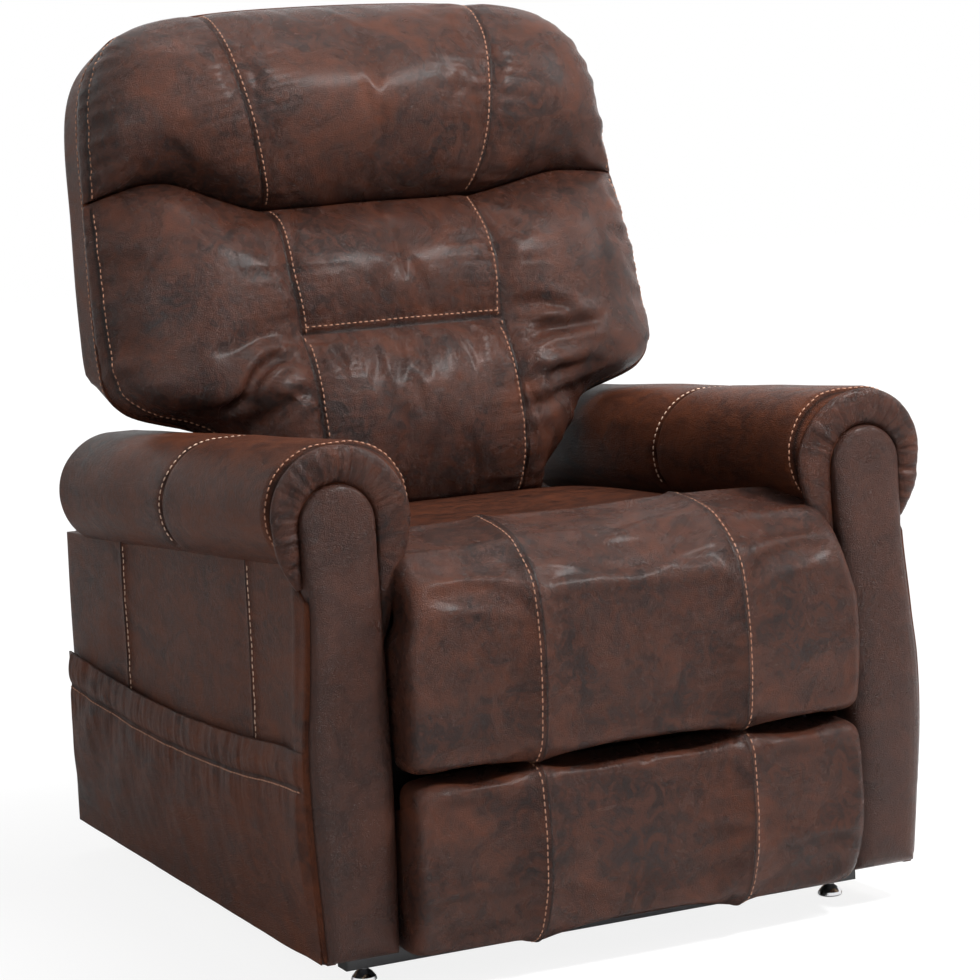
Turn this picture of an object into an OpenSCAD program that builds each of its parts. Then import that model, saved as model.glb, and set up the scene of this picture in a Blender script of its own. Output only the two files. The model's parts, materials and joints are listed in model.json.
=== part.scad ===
// Powered lift recliner: a steel base with a four-bar lift, a padded chair body with rolled arms,
// a reclining back and a swing-out footrest. Millimetres, +Z up, the sitter faces -Y.
// Side profiles are written as [y, z] and swept along X.

/* [Seat and arms] */
// Clear width between the arm bodies
seat_w = 600; // [560:5:680]
// Width of an arm body
arm_w = 90; // [70:1:120]
// Front face of the arms, measured from the middle
arm_front = 412; // [402:1:425]
// Rear face of the arms, measured from the middle
arm_rear = 412; // [402:1:430]
// Height of the arms' lower edge
arm_bottom = 46; // [45:1:60]
// Width of an arm roll
roll_w = 176; // [160:1:190]
// Height of an arm roll
roll_h = 147; // [130:1:150]
// Top of the roll at the front
roll_top = 635; // [615:1:660]
// Fall of the roll towards the rear, degrees
roll_fall = 4.6; // [3:0.1:5.5]
// Thickness of the padded arm panels
panel_t = 12; // [8:1:16]
// Depth of the padded front column
column_t = 10; // [8:1:14]
// Height of the arm's front column
column_top = 587; // [570:1:600]
// Rear end of the arm rolls, measured from the middle
roll_rear = 352; // [345:1:380]
// How far the column's padding swells forward
column_swell = 25; // [15:1:28]

/* [Seat] */
// Underside of the seat cushion
cushion_z = 377; // [376:1:382]
// Top of the seat cushion at its front
seat_z = 506; // [500:1:510]
// Rear face of the seat cushion
cushion_rear = 170; // [150:1:180]
// Depth of a seat rail
rail_h = 40; // [30:1:40]
// Thickness of a seat rail
rail_t = 22; // [18:1:24]
// Seat spring wire
spring_wire = 3.5; // [3:0.1:4]
// Number of seat springs
spring_count = 5; // [3:1:6]

/* [Footrest] */
// Footrest hinge, [y, z]
foot_hinge = [-372, 418]; // [-500:1:500]
// Radius of the padded roll round the hinge
roll_c = 88; // [84:1:89]
// Front face of the pillows, measured from the middle
pillow_front = 461; // [458:1:464]
// Lower edge of the footrest
foot_bottom = 38; // [36:1:48]
// Height of the crease between the two pillows
crease_z = 250; // [240:1:260]
// Gap between a pillow and the arm beside it
pillow_gap = 6; // [4:1:10]
// Footrest board thickness
board_t = 12; // [9:1:15]
// Length of the drive levers
lever_r = 125; // [115:1:130]
// Crank shaft, [y, z]
crank_axis = [-235, 318]; // [-500:1:500]

/* [Back] */
// Back hinge, [y, z]
back_hinge = [260, 360]; // [-500:1:500]
// Lean of the back, degrees
back_lean = 17; // [15:0.5:19]
// Foot of the side seam, [y, z]
seam_foot = [205, 611]; // [-500:1:700]
// Depth of the back behind its side seam
shell_d = 88; // [80:1:90]
// Length of the back above the seam's foot
back_len = 500; // [480:1:510]
// How far the back stands out past the arms
back_over = 4; // [1:0.5:6]
// Wall of the back's outer cover
cover_t = 8; // [6:1:10]
// Most that the headrest stands proud of the side seam
head_bulge = 97; // [85:1:105]
// Most that the lumbar roll stands proud of the side seam
lumbar_bulge = 94; // [85:1:105]
// Rise of the back's top edge in its middle
back_crown = 8; // [4:1:12]
// Swell of the back's rear face in its middle
back_dome = 12; // [6:1:14]

/* [Base frame] */
// Square tube of the base
tube = 25; // [20:1:30]
// Underside of the base tubes
tube_z = 18; // [16:1:20]
// Length of the cross tubes
cross_len = 682; // [640:1:720]
// Front face of the front cross tube, from the middle
base_front = 360; // [350:1:365]
// Rear face of the rear cross tube, from the middle
base_rear = 325; // [315:1:345]
// Distance between the glides, across the chair
glide_span = 630; // [600:1:650]
// Diameter of a glide
glide_d = 30; // [25:1:40]

/* [Lift linkage] */
// Base pivot of the short links, [y, z]
short_base = [-320, 80]; // [-500:1:500]
// Base pivot of the long links, [y, z]
long_base = [-250, 120]; // [-500:1:500]
// Chair pivot of the short links, [y, z]
short_chair = [-99, 90]; // [-500:1:500]
// Chair pivot of the long links, [y, z]
long_chair = [170, 180]; // [-500:1:500]
// Half width of a short link
short_half = 12; // [10:1:13]
// Half width of a long link
long_half = 14; // [12:1:15]
// Radius of the link pins
pin_r = 6; // [5:0.5:7]
// Radius of the long links' shaft
long_shaft_r = 12.5; // [10:0.5:14]
// Radius of the short links' shaft
short_shaft_r = 10; // [8:0.5:11]
// Radius of the lift crank
lift_crank_r = 75; // [70:1:80]

/* [Plates and clearances] */
// Thickness of the side plates and lift links
plate_t = 6; // [5:0.5:7]
// Thickness of the footrest's links
strap_t = 4; // [3:0.5:5]
// Radius of the footrest's link pins
strap_pin_r = 5; // [4:0.5:6]
// Gap between moving plates
layer_gap = 3; // [2:0.5:3.5]
// Running clearance of a shaft in its bore, on the radius
run_c = 0.05; // [0.02:0.01:0.1]
// Clearance of an open pivot, on the radius
open_c = 0.5; // [0.3:0.1:1]
// Gap between soft parts and what carries them
soft_c = 0.3; // [0.2:0.1:0.6]

/* [Motors] */
// Radius of a motor's outer tube
motor_tube_r = 17; // [15:1:19]
// Radius of a motor's rod
rod_r = 8; // [6:0.5:10]
// Radius of a motor's barrel
barrel_r = 22; // [18:1:24]
// Radius of a rod's cross pin
rod_pin_r = 4; // [3:0.5:5]
// Sideways place of the footrest and recline motors
motor_x = 110; // [90:1:150]

/* [Pocket] */
// Height of the pocket's rear corner
pocket_rear_z = 278; // [260:1:300]
// Height of the pocket's front corner
pocket_front_z = 292; // [270:1:310]
// Depth of the pocket's inside
pocket_d = 9; // [7:1:12]
// Thickness of the pocket's leather
pocket_t = 3; // [2:0.5:4]
// Depth of the pocket's elastic hem
hem_h = 42; // [30:1:50]

/* [Hidden] */
$fn = 48;

leather = [0.23, 0.13, 0.10];
leather_worn = [0.28, 0.16, 0.12];
steel_black = [0.12, 0.12, 0.13];
steel_grey = [0.45, 0.46, 0.48];
zinc = [0.70, 0.71, 0.73];
timber = [0.70, 0.56, 0.38];
nylon = [0.86, 0.84, 0.78];
motor_black = [0.09, 0.09, 0.10];

// Layers of the linkage, from the chair's side plate outwards
plate_x = seat_w / 2 - 32;
link_x = plate_x + plate_t + layer_gap;
short_x = plate_x - layer_gap - plate_t;
bracket_x = link_x + plate_t + layer_gap / 2;
strap_x = plate_x + plate_t + layer_gap + 0.5;
ear_x = strap_x + strap_t + layer_gap;
lug_x = plate_x - 12;
drag_x = lug_x - strap_t - layer_gap / 2;
board_half = strap_x;
base_rail_x = bracket_x + plate_t - tube;
hinge_x = seat_w / 2 - 124;
back_shaft_r = 8;
post_t = 22;

arm_in = seat_w / 2;
arm_out = arm_in + arm_w;
pillow_half = arm_in - pillow_gap;
// Distance of the panels' seams from the middle of a pillow
panel_seam = 0.4422 * pillow_half;
back_half = arm_out + back_over;
roll_x = arm_in + 37;
roll_r = roll_h / 2;
roll_flat = (roll_w - roll_h) / 2;
panel_front = -arm_front + column_t;
panel_rear = arm_rear;
base_top = tube_z + tube;
rail_top = cushion_z - spring_wire - 0.5;
rail_z = rail_top - rail_h;
rail_front = foot_hinge[0] + 78;
rail_rear = 200;
rail_x = plate_x - 0.5;
board_y = foot_hinge[0] + 15;
drag_pin = foot_hinge + lever_r * [cos(-72), sin(-72)];
crank_pin = crank_axis + lever_r * [cos(-72), sin(-72)];
// Drives: [axis, crank radius, middle angle, half turn, sense of turning]
lift_turn = 57.8;
foot_turn = 80;
back_turn = 30;
lift_drive = [short_base, lift_crank_r, 83, lift_turn / 2, 1];
foot_drive = [crank_axis, 50, -90, foot_turn / 2, -1];
back_drive = [back_hinge, 120, -90, back_turn / 2, -1];
back_tube = back_hinge + [23, -28];
// Lengths of the three motors' housings
lift_motor_len = 330;
recline_motor_len = 340;
footrest_motor_len = 262;
rear_panel_top = roll_zc(panel_rear) - roll_r - 4;
eye_w = 16;
eye_swell = 0.4;
pin_head = 3;
ear_gap = 1;
ear_t = 5;
eye_wall = 5;
slot_play = 1.7;
cross_front = [crank_axis[0] + 88, crank_axis[1] - 126];
cross_rear = [rail_rear - 5, 267];

function dir(a) = [cos(a), sin(a)];
// Where a crank's pin starts
function pin_at(d) = d[0] + d[1] * dir(d[2] - d[4] * d[3]);
// Centre of the slotted eye that the pin works in
function eye_at(d) = d[0] - d[4] * d[1] * sin(d[3]) * dir(d[2] + 90) + d[1] * (1 + cos(d[3])) / 2 * dir(d[2]);
// Half length of that slot
function slot_half(d) = d[1] * (1 - cos(d[3])) / 2 + 0.3;
// Height of the roll's centre line above the floor at depth y
function roll_zc(y) = roll_top - roll_r - (y + arm_front) * tan(roll_fall);
// A point of the back from its distances along the lean and behind the side seam
function lean(x, s, t) = [x, seam_foot[0] + s * sin(back_lean) + t * cos(back_lean),
    seam_foot[1] + s * cos(back_lean) - t * sin(back_lean)];
// Straight-line reading of a table of [key, value] rows
function table_at(rows, key, i = 0) =
    key <= rows[0][0] ? rows[0][1] :
    i >= len(rows) - 1 ? rows[len(rows) - 1][1] :
    key <= rows[i + 1][0]
        ? rows[i][1] + (rows[i + 1][1] - rows[i][1]) * (key - rows[i][0]) / (rows[i + 1][0] - rows[i][0])
        : table_at(rows, key, i + 1);
function mean_point(ring, i = 0) = i == len(ring) ? [0, 0, 0] : ring[i] / len(ring) + mean_point(ring, i + 1);

// Closed skin over rings of points, each counterclockwise about the direction they are stacked in
module skin(rings) {
    n = len(rings[0]);
    m = len(rings);
    points = concat([for (ring = rings) each ring], [mean_point(rings[0]), mean_point(rings[m - 1])]);
    sides = [for (i = [0 : m - 2]) for (k = [0 : n - 1]) let (k1 = (k + 1) % n)
        each [[i * n + k, (i + 1) * n + k, (i + 1) * n + k1], [i * n + k, (i + 1) * n + k1, i * n + k1]]];
    start_cap = [for (k = [0 : n - 1]) [m * n, k, (k + 1) % n]];
    end_cap = [for (k = [0 : n - 1]) [m * n + 1, (m - 1) * n + (k + 1) % n, (m - 1) * n + k]];
    polyhedron(points = points, faces = concat(start_cap, sides, end_cap), convexity = 6);
}

// Sweeps a [y, z] profile along X from x0 to x1
module side_sweep(x0, x1) {
    translate([x0, 0, 0])
        rotate([90, 0, 90])
            linear_extrude(x1 - x0)
                children();
}

module both_sides() {
    children();
    mirror([1, 0, 0])
        children();
}

// Flat bar between two [y, z] points, with round eyes a little wider than its web
module bar(p, q, r) {
    d = q - p;
    web = r - eye_swell;
    translate(p)
        circle(r);
    translate(q)
        circle(r);
    translate(p)
        rotate(atan2(d[1], d[0]))
            translate([0, -web])
                square([norm(d), 2 * web]);
}

module at(p) {
    translate(p)
        children();
}

// Pin along X at a [y, z] point
module cross_pin(p, r, x0, x1) {
    translate([x0, p[0], p[1]])
        rotate([0, 90, 0])
            cylinder(r = r, h = x1 - x0);
}

module box(x, y, z) {
    translate([x[0], y[0], z[0]])
        cube([x[1] - x[0], y[1] - y[0], z[1] - z[0]]);
}

// ---------- base ----------

module square_tube_x(y, z, length) {
    difference() {
        box([-length / 2, length / 2], [y, y + tube], [z, z + tube]);
        box([-length / 2 - 1, -length / 2 + 30], [y + 2, y + tube - 2], [z + 2, z + tube - 2]);
        box([length / 2 - 30, length / 2 + 1], [y + 2, y + tube - 2], [z + 2, z + tube - 2]);
    }
}

module base_front_tube() {
    color(steel_black)
        square_tube_x(-base_front, tube_z, cross_len);
}

module base_rear_tube() {
    color(steel_black)
        square_tube_x(base_rear - tube, tube_z, cross_len);
}

module base_side_rails() {
    color(steel_black)
        both_sides()
            box([base_rail_x, base_rail_x + tube], [-base_front + tube, base_rear - tube],
                [tube_z, base_top]);
}

module tube_end_caps() {
    color(motor_black)
        both_sides()
            for (y = [-base_front, base_rear - tube]) {
                box([cross_len / 2, cross_len / 2 + 2], [y, y + tube], [tube_z, base_top]);
                box([cross_len / 2 - 14, cross_len / 2], [y + 2.2, y + tube - 2.2],
                    [tube_z + 2.2, base_top - 2.2]);
            }
}

module foot_glides() {
    color(zinc)
        both_sides()
            for (y = [-base_front + tube / 2 + 3, base_rear - tube / 2])
                translate([glide_span / 2, y, 0])
                    rotate_extrude()
                        polygon([[0, 0], [glide_d / 2 - 1, 0], [glide_d / 2, 1.5], [glide_d / 2 - 1, 5],
                            [glide_d / 2 - 5, 10], [6, 13], [5, 14], [5, tube_z], [0, tube_z]]);
}

module lift_pivot_brackets() {
    foot_y = [short_base[0] - 16, long_base[0] + 16];
    color(steel_black) {
        both_sides()
            side_sweep(bracket_x, bracket_x + plate_t)
                difference() {
                    union() {
                        polygon([[foot_y[0], base_top], [foot_y[1], base_top], long_base + [14, 0], long_base,
                            short_base, short_base - [14, 0]]);
                        at(short_base)
                            circle(16);
                        at(long_base)
                            circle(14);
                    }
                    at(short_base)
                        circle(short_shaft_r + run_c);
                    at(long_base)
                        circle(pin_r);
                }
        // clevis for the lift motor on the rear tube
        both_sides()
            side_sweep(20, 25)
                polygon([[base_rear - tube, base_top], [base_rear, base_top], [base_rear - 4, 98],
                    [motor_rear[0] - 6, 98], [motor_rear[0] - 6, motor_rear[1] - 12]]);
    }
}

module lift_pivot_pins() {
    color(zinc)
        both_sides() {
            cross_pin(long_base, pin_r, link_x - 0.4, bracket_x + plate_t + 2);
            cross_pin(long_base, pin_r + 3, link_x - 2.6, link_x - 0.4);
            cross_pin(long_base, pin_r + 3, bracket_x + plate_t, bracket_x + plate_t + 3);
        }
}

lift_dir = dir(lift_drive[2] + 90);
motor_rear = eye_at(lift_drive) - lift_dir * (eye_at(lift_drive)[0] - 280) / lift_dir[0];

// Places children drawn along +Y at a [y, z] point, turned to a direction in the side view
module along(p, dir, x = 0) {
    translate([x, p[0], p[1]])
        rotate([atan2(dir[1], dir[0]), 0, 0])
            children();
}

// Motor drawn from its gearbox along +Y: box, outer tube with its bore, and a barrel to one side
module linear_motor(tube_len, bore, barrel_len, side) {
    box_len = 58;
    difference() {
        union() {
            box([-20, 20], [0, box_len], [-20, 20]);
            translate([0, box_len, 0])
                rotate([-90, 0, 0])
                    cylinder(r = motor_tube_r, h = tube_len - box_len);
            translate([0, tube_len - 16, 0])
                rotate([-90, 0, 0])
                    cylinder(r = motor_tube_r + 2, h = 16);
        }
        translate([0, tube_len - bore, 0])
            rotate([-90, 0, 0])
                cylinder(r = rod_r + 0.5, h = bore + 1);
    }
    translate([side * 20, box_len / 2, 0])
        rotate([0, 90 * side, 0]) {
            cylinder(r = barrel_r, h = barrel_len - 6);
            translate([0, 0, barrel_len - 6])
                cylinder(r1 = barrel_r, r2 = barrel_r - 5, h = 6);
        }
}

// Rod drawn back along -Y from the slotted eye at its end
module motor_rod(rod_len, drive) {
    hole_r = rod_pin_r + slot_play;
    h = slot_half(drive);
    side_sweep(-eye_w / 2, eye_w / 2)
        difference() {
            bar([0, -h], [0, h], hole_r + eye_wall);
            bar([0, -h], [0, h], hole_r);
        }
    translate([0, -hole_r - eye_wall + 1, 0])
        rotate([90, 0, 0])
            cylinder(r = rod_r, h = rod_len - hole_r - eye_wall + 1);
}

// Pair of ears on a shaft with the pin that works in a rod's eye
module crank_ears(root, drive, x) {
    pin = pin_at(drive);
    out = eye_w / 2 + ear_gap + ear_t;
    for (x0 = [x - out, x + out - ear_t])
        side_sweep(x0, x0 + ear_t)
            bar(root, pin, rod_pin_r + 5);
    cross_pin(pin, rod_pin_r, x - out - 1.5, x + out + 1.5);
}

module lift_motor() {
    color(motor_black)
        along(motor_rear, lift_dir)
            linear_motor(lift_motor_len, 115, 120, 1);
}

// ---------- lift links ----------

module long_links() {
    color(steel_grey)
        both_sides()
            side_sweep(link_x, link_x + plate_t)
                difference() {
                    union() {
                        bar(long_base, long_chair, long_half);
                        at(long_chair)
                            circle(long_shaft_r + 8);
                    }
                    at(long_base)
                        circle(pin_r + run_c);
                    at(long_chair)
                        circle(long_shaft_r);
                }
}

module long_link_shaft() {
    color(steel_grey)
        difference() {
            cross_pin(long_chair, long_shaft_r, -link_x - plate_t, link_x + plate_t);
            cross_pin(long_chair, long_shaft_r - 3, -link_x - plate_t - 1, link_x + plate_t + 1);
        }
}

module short_links() {
    color(steel_grey)
        both_sides()
            side_sweep(short_x, short_x + plate_t)
                difference() {
                    union() {
                        bar(short_base, short_chair, short_half);
                        at(short_base)
                            circle(short_shaft_r + 5);
                    }
                    at(short_base)
                        circle(short_shaft_r);
                    at(short_chair)
                        circle(pin_r + open_c);
                }
}

module short_link_shaft() {
    color(steel_grey) {
        cross_pin(short_base, short_shaft_r, -bracket_x - plate_t - 2, bracket_x + plate_t + 2);
        crank_ears(short_base, lift_drive, 0);
    }
}

module lift_rod() {
    color(zinc)
        along(eye_at(lift_drive), lift_dir)
            motor_rod(norm(eye_at(lift_drive) - motor_rear) - lift_motor_len + 100, lift_drive);
}

// ---------- chair body: steel ----------

module plate_outline() {
    difference() {
        union() {
            polygon([[rail_front, rail_top], [rail_front, rail_z], crank_axis + [-27, -18],
                crank_axis + [60, -108], short_chair + [-14, -2], short_chair + [14, -2],
                short_chair + [39, 60], long_chair + [-20, -22], long_chair + [24, -4],
                back_hinge + [20, -15], back_hinge + [20, 12]]);
            at(crank_axis)
                circle(20);
            at(short_chair)
                circle(14);
            at(long_chair)
                circle(26);
            at(back_hinge)
                circle(20);
        }
        at(long_chair)
            circle(long_shaft_r + 3);
        at(crank_axis)
            circle(short_shaft_r + 3);
        at(short_chair)
            circle(pin_r);
        at(back_hinge)
            circle(back_shaft_r);
    }
}

module side_plates() {
    color(steel_black)
        both_sides()
            side_sweep(plate_x, plate_x + plate_t)
                plate_outline();
}

module shaft_bushes() {
    color(nylon)
        both_sides()
            for (s = [[long_chair, long_shaft_r], [crank_axis, short_shaft_r]])
                difference() {
                    union() {
                        cross_pin(s[0], s[1] + 3, plate_x - 2, plate_x + plate_t);
                        cross_pin(s[0], s[1] + 4.5, plate_x - 2, plate_x);
                        cross_pin(s[0], s[1] + 4.5, plate_x + plate_t, plate_x + plate_t + 2);
                    }
                    cross_pin(s[0], s[1] + run_c, plate_x - 3, plate_x + plate_t + 3);
                }
}

module cross_tubes() {
    color(steel_black)
        for (p = [cross_front, cross_rear])
            difference() {
                box([-plate_x, plate_x], [p[0], p[0] + tube], [p[1], p[1] + tube]);
                box([-plate_x - 1, plate_x + 1], [p[0] + 2, p[0] + tube - 2], [p[1] + 2, p[1] + tube - 2]);
            }
}

module front_lift_pins() {
    color(zinc)
        both_sides() {
            cross_pin(short_chair, pin_r, short_x - 0.7, plate_x + plate_t + 0.4);
            cross_pin(short_chair, pin_r + 3, short_x - 0.7 - pin_head, short_x - 0.7);
            cross_pin(short_chair, pin_r + 2, short_x + plate_t + 0.7, plate_x);
        }
}

module back_shaft() {
    color(zinc) {
        cross_pin(back_hinge, back_shaft_r, -plate_x - plate_t - 2, plate_x + plate_t + 2);
        both_sides() {
            cross_pin(back_hinge, back_shaft_r + 5, hinge_x - 7, hinge_x - 1);
            cross_pin(back_hinge, back_shaft_r + 5, hinge_x + plate_t + 1, hinge_x + plate_t + 7);
        }
    }
}

module footrest_ears() {
    root = [rail_front + 40, rail_z + 17];
    color(steel_black)
        both_sides() {
            side_sweep(ear_x, ear_x + strap_t)
                bar(root, foot_hinge, 14);
            cross_pin(root, 10, plate_x + plate_t, ear_x + 1);
            cross_pin(foot_hinge, pin_r, strap_x - 1, ear_x + strap_t + 1);
        }
}

module arm_brackets() {
    color(steel_black)
        both_sides()
            for (y = [-190, 50])
                difference() {
                    box([plate_x + plate_t, arm_in], [y, y + 40], [rail_z + 4, rail_top - 2]);
                    box([plate_x + plate_t + 4, arm_in - 4], [y - 1, y + 41], [rail_z + 3, rail_top - 6]);
                }
}

// ---------- chair body: seat ----------

module seat_rails() {
    color(timber) {
        both_sides()
            box([rail_x - rail_t, rail_x], [rail_front, rail_rear], [rail_z, rail_top]);
        for (y = [rail_front, rail_rear - rail_t])
            box([-rail_x + rail_t + soft_c, rail_x - rail_t - soft_c], [y, y + rail_t], [rail_z, rail_top]);
    }
}

// Flat zigzag wire along +Y from the origin, made of half rings of radius loop_r
module sinuous(length, loop_r, half_w, wire) {
    loops = floor(length / (2 * loop_r) + 0.01);
    overlap = 0.5;
    for (i = [0 : loops - 1]) {
        side = i % 2 == 0 ? 1 : -1;
        translate([side * (half_w - loop_r), (2 * i + 1) * loop_r])
            difference() {
                circle(loop_r + wire / 2);
                circle(loop_r - wire / 2);
                translate([side > 0 ? -100 - overlap : overlap, -50])
                    square(100);
            }
    }
    for (i = [0 : loops])
        translate([-half_w + loop_r, 2 * i * loop_r - wire / 2])
            square([2 * (half_w - loop_r), wire]);
}

module seat_springs() {
    pitch = 2 * (rail_x - rail_t) / (spring_count + 1);
    run = rail_rear - rail_front - 16;
    color(zinc)
        for (i = [1 : spring_count])
            translate([-rail_x + rail_t + i * pitch, rail_front + 8, rail_top])
                linear_extrude(spring_wire)
                    sinuous(run, run / 28, 24, spring_wire);
}

function reverse(list) = [for (i = [len(list) - 1 : -1 : 0]) list[i]];

// Side profile of the seat cushion; its front is hollowed round the footrest's roll, and f is its plumpness
function seat_profile(f) = let (hollow = roll_c + 0.6)
    concat(
        [for (a = [-25 : 12 : 71]) foot_hinge + hollow * dir(a)],
        [foot_hinge + (hollow + 2) * dir(82), [foot_hinge[0] + 58, seat_z + 5 * f], [-290, seat_z + 3 * f],
            [-240, seat_z - 11 + f], [-80, seat_z - 21 + 3 * f], [40, seat_z - 28 + 2 * f],
            [cushion_rear - 40, seat_z - 37 + 2 * f], [cushion_rear - 10, seat_z - 47],
            [cushion_rear, seat_z - 63], [cushion_rear, cushion_z + 14],
            [cushion_rear - 8, cushion_z + 3], [cushion_rear - 20, cushion_z],
            [-100, cushion_z], [foot_hinge[0] + roll_c, cushion_z]]);

module seat_cushion() {
    half = pillow_half - 11;
    plump = [[0, 1], [0.3, 1], [0.55, 0.97], [0.8, 0.88], [0.93, 0.62], [1, 0.2]];
    rows = [-1, -0.98, -0.92, -0.8, -0.62, -0.48, -0.3, 0, 0.3, 0.48, 0.62, 0.8, 0.92, 0.98, 1];
    color(leather_worn)
        skin([for (u = rows) let (f = table_at(plump, abs(u)), seam = abs(abs(u) - 0.48) < 0.01 ? -3 : 0)
            [for (p = reverse(seat_profile(f))) let (
                    by_roll = norm(p - foot_hinge) < roll_c + 5 ? 0 : 1,
                    up = by_roll * max(0, p[1] - (cushion_z + 25)) / (seat_z - cushion_z - 25),
                    drop = (1 - f) * 26 * up)
                [u * half, p[0], p[1] - drop + seam * up]]]);
}

// ---------- chair body: arms ----------

// Side outline of an arm panel, from the lower edge to just inside the roll
function arm_outline(y0, y1, depth) = [[y0, arm_bottom], [y1, arm_bottom],
    [y1, roll_zc(y1) - roll_r + depth], [y0, roll_zc(y0) - roll_r + depth]];

module arm_frame() {
    x0 = arm_in + panel_t;
    x1 = arm_out - panel_t;
    front = panel_front;
    color(timber) {
        for (y = [front, panel_rear - panel_t - 40])
            box([x0, x1], [y, y + 40], [arm_bottom + 4, roll_zc(y + 40) - roll_r]);
        for (z = [[arm_bottom + 4, arm_bottom + 44], [rail_z - 20, rail_top]])
            box([x0, x1], [front + 40 + soft_c, panel_rear - panel_t - 40 - soft_c], z);
        side_sweep(x0, x1)
            polygon([[front + 40 + soft_c, roll_zc(front + 40) - roll_r - 30],
                [panel_rear - panel_t - 40 - soft_c, roll_zc(panel_rear - 52) - roll_r - 30],
                [panel_rear - panel_t - 40 - soft_c, roll_zc(panel_rear - 52) - roll_r],
                [front + 40 + soft_c, roll_zc(front + 40) - roll_r]]);
    }
}

module arm_outer() {
    color(leather) {
        side_sweep(arm_out - panel_t, arm_out)
            polygon(arm_outline(panel_front, panel_rear, 4.5));
        // rear return, under the reclined back
        box([arm_in, arm_out - panel_t], [panel_rear - panel_t, panel_rear],
            [arm_bottom, roll_zc(panel_rear) - roll_r + 5]);
        // cap behind the end of the roll
        side_sweep(arm_in + panel_t, arm_out - panel_t)
            polygon([for (p = [[roll_rear + 1, 0.5], [panel_rear - panel_t, 0.5], [panel_rear - panel_t, 4.5],
                    [roll_rear + 1, 4.5]]) [p[0], roll_zc(p[0]) - roll_r + p[1]]]);
    }
}

module arm_inner() {
    color(leather)
        side_sweep(arm_in, arm_in + panel_t)
            polygon(arm_outline(panel_front, panel_rear - panel_t, 0.5));
}

// One ring of an arm roll at depth y, drawn in by d
function roll_ring(y, d) = [for (a = [0 : 15 : 359]) let (r = roll_r - d, flat = a < 90 || a > 270 ? 1 : -1)
    [roll_x + flat * roll_flat * (1 - d / roll_r) + r * cos(a), y, roll_zc(y) - r * sin(a)]];

module arm_roll() {
    y0 = panel_front + soft_c;
    y1 = roll_rear;
    color(leather)
        skin([for (row = [[0, 20], [2, 9], [8, 3], [20, 0], [120, 0], [340, 0.5], [344, 2.5], [348, 0.5],
                [600, 0], [y1 - y0 - 26, 0], [y1 - y0 - 12, 4], [y1 - y0 - 4, 12], [y1 - y0, 24]])
            roll_ring(y0 + row[0], row[1])]);
}

// Front outline of the column at depth y, drawn in by d, its arch lowered by drop
function column_ring(y, d, drop) = let (r = arm_w / 2 - d, xm = arm_in + arm_w / 2,
        zt = column_top - arm_w / 2 - drop, zm = arm_bottom + 220, side = d < 4 ? 10 : 6)
    concat([[xm - r, y, arm_bottom + d], [xm + r, y, arm_bottom + d], [xm + r + side, y, zm]],
        [for (a = [0 : 15 : 180]) [xm + r * cos(a), y, zt + r * sin(a)]], [[xm - r, y, zm]]);

module arm_column() {
    y0 = panel_front - column_t;
    color(leather)
        skin([column_ring(panel_front, 1, 0), column_ring(panel_front - column_t * 0.5, 0, 0),
            column_ring(y0, 2, 2), column_ring(y0 - column_swell * 0.3, 4, 16),
            column_ring(y0 - column_swell * 0.6, 8, 45), column_ring(y0 - column_swell * 0.85, 14, 80),
            column_ring(y0 - column_swell, 24, 115)]);
}

module left_arm_frame() { arm_frame(); }
module left_arm_outer() { arm_outer(); }
module left_arm_inner() { arm_inner(); }
module left_arm_roll() { arm_roll(); }
module left_arm_front() { arm_column(); }
module right_arm_frame() { mirror([1, 0, 0]) arm_frame(); }
module right_arm_outer() { mirror([1, 0, 0]) arm_outer(); }
module right_arm_inner() { mirror([1, 0, 0]) arm_inner(); }
module right_arm_roll() { mirror([1, 0, 0]) arm_roll(); }
module right_arm_front() { mirror([1, 0, 0]) arm_column(); }

module side_pocket() {
    y0 = -arm_front + 26;
    y1 = panel_rear - 7;
    sag_z = min(pocket_front_z, pocket_rear_z) - 12;
    x1 = -arm_out - soft_c;
    x0 = x1 - pocket_d - pocket_t;
    color(leather_worn)
        difference() {
            union() {
                side_sweep(x0, x1)
                    polygon([[y0, arm_bottom + 1], [y1, arm_bottom + 1], [y1, pocket_rear_z],
                        [(y0 + y1) / 2, sag_z], [y0, pocket_front_z]]);
                side_sweep(x0 - 2, x0)
                    polygon([[y0, pocket_front_z - hem_h], [(y0 + y1) / 2, sag_z - hem_h],
                        [y1, pocket_rear_z - hem_h], [y1, pocket_rear_z], [(y0 + y1) / 2, sag_z],
                        [y0, pocket_front_z]]);
            }
            box([x0 + pocket_t, x1 + 1], [y0 + 10, y1 - 10], [arm_bottom + 14, pocket_front_z + 20]);
        }
}

module rear_panel() {
    color(leather)
        difference() {
            box([-arm_in, arm_in], [panel_rear - 40, panel_rear - 22], [arm_bottom + 4, rear_panel_top]);
            box([-80, -30], [panel_rear - 41, panel_rear - 21], [78, 112]);
        }
}

module power_inlet() {
    color(motor_black)
        difference() {
            box([-80, -30], [panel_rear - 40, panel_rear - 19], [78, 112]);
            box([-72, -38], [panel_rear - 34, panel_rear - 18], [84, 106]);
        }
    color(zinc)
        for (x = [-61, -51])
            box([x, x + 2.5], [panel_rear - 35, panel_rear - 24], [92, 98]);
}

module control_box() {
    color(motor_black)
        box([-60, 60], [cross_front[0] + tube, cross_front[0] + tube + 78],
            [cross_front[1] - 2, cross_front[1] + 34]);
}

module recline_motor() {
    eye = eye_at(back_drive);
    start = cross_front[0] + 1;
    color(motor_black) {
        along([start, eye[1]], [1, 0], motor_x)
            linear_motor(recline_motor_len, 110, 80, 1);
        box([motor_x - 14, motor_x + 14], [start, start + 22], [cross_front[1] + tube, eye[1] - 20]);
    }
}

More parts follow.
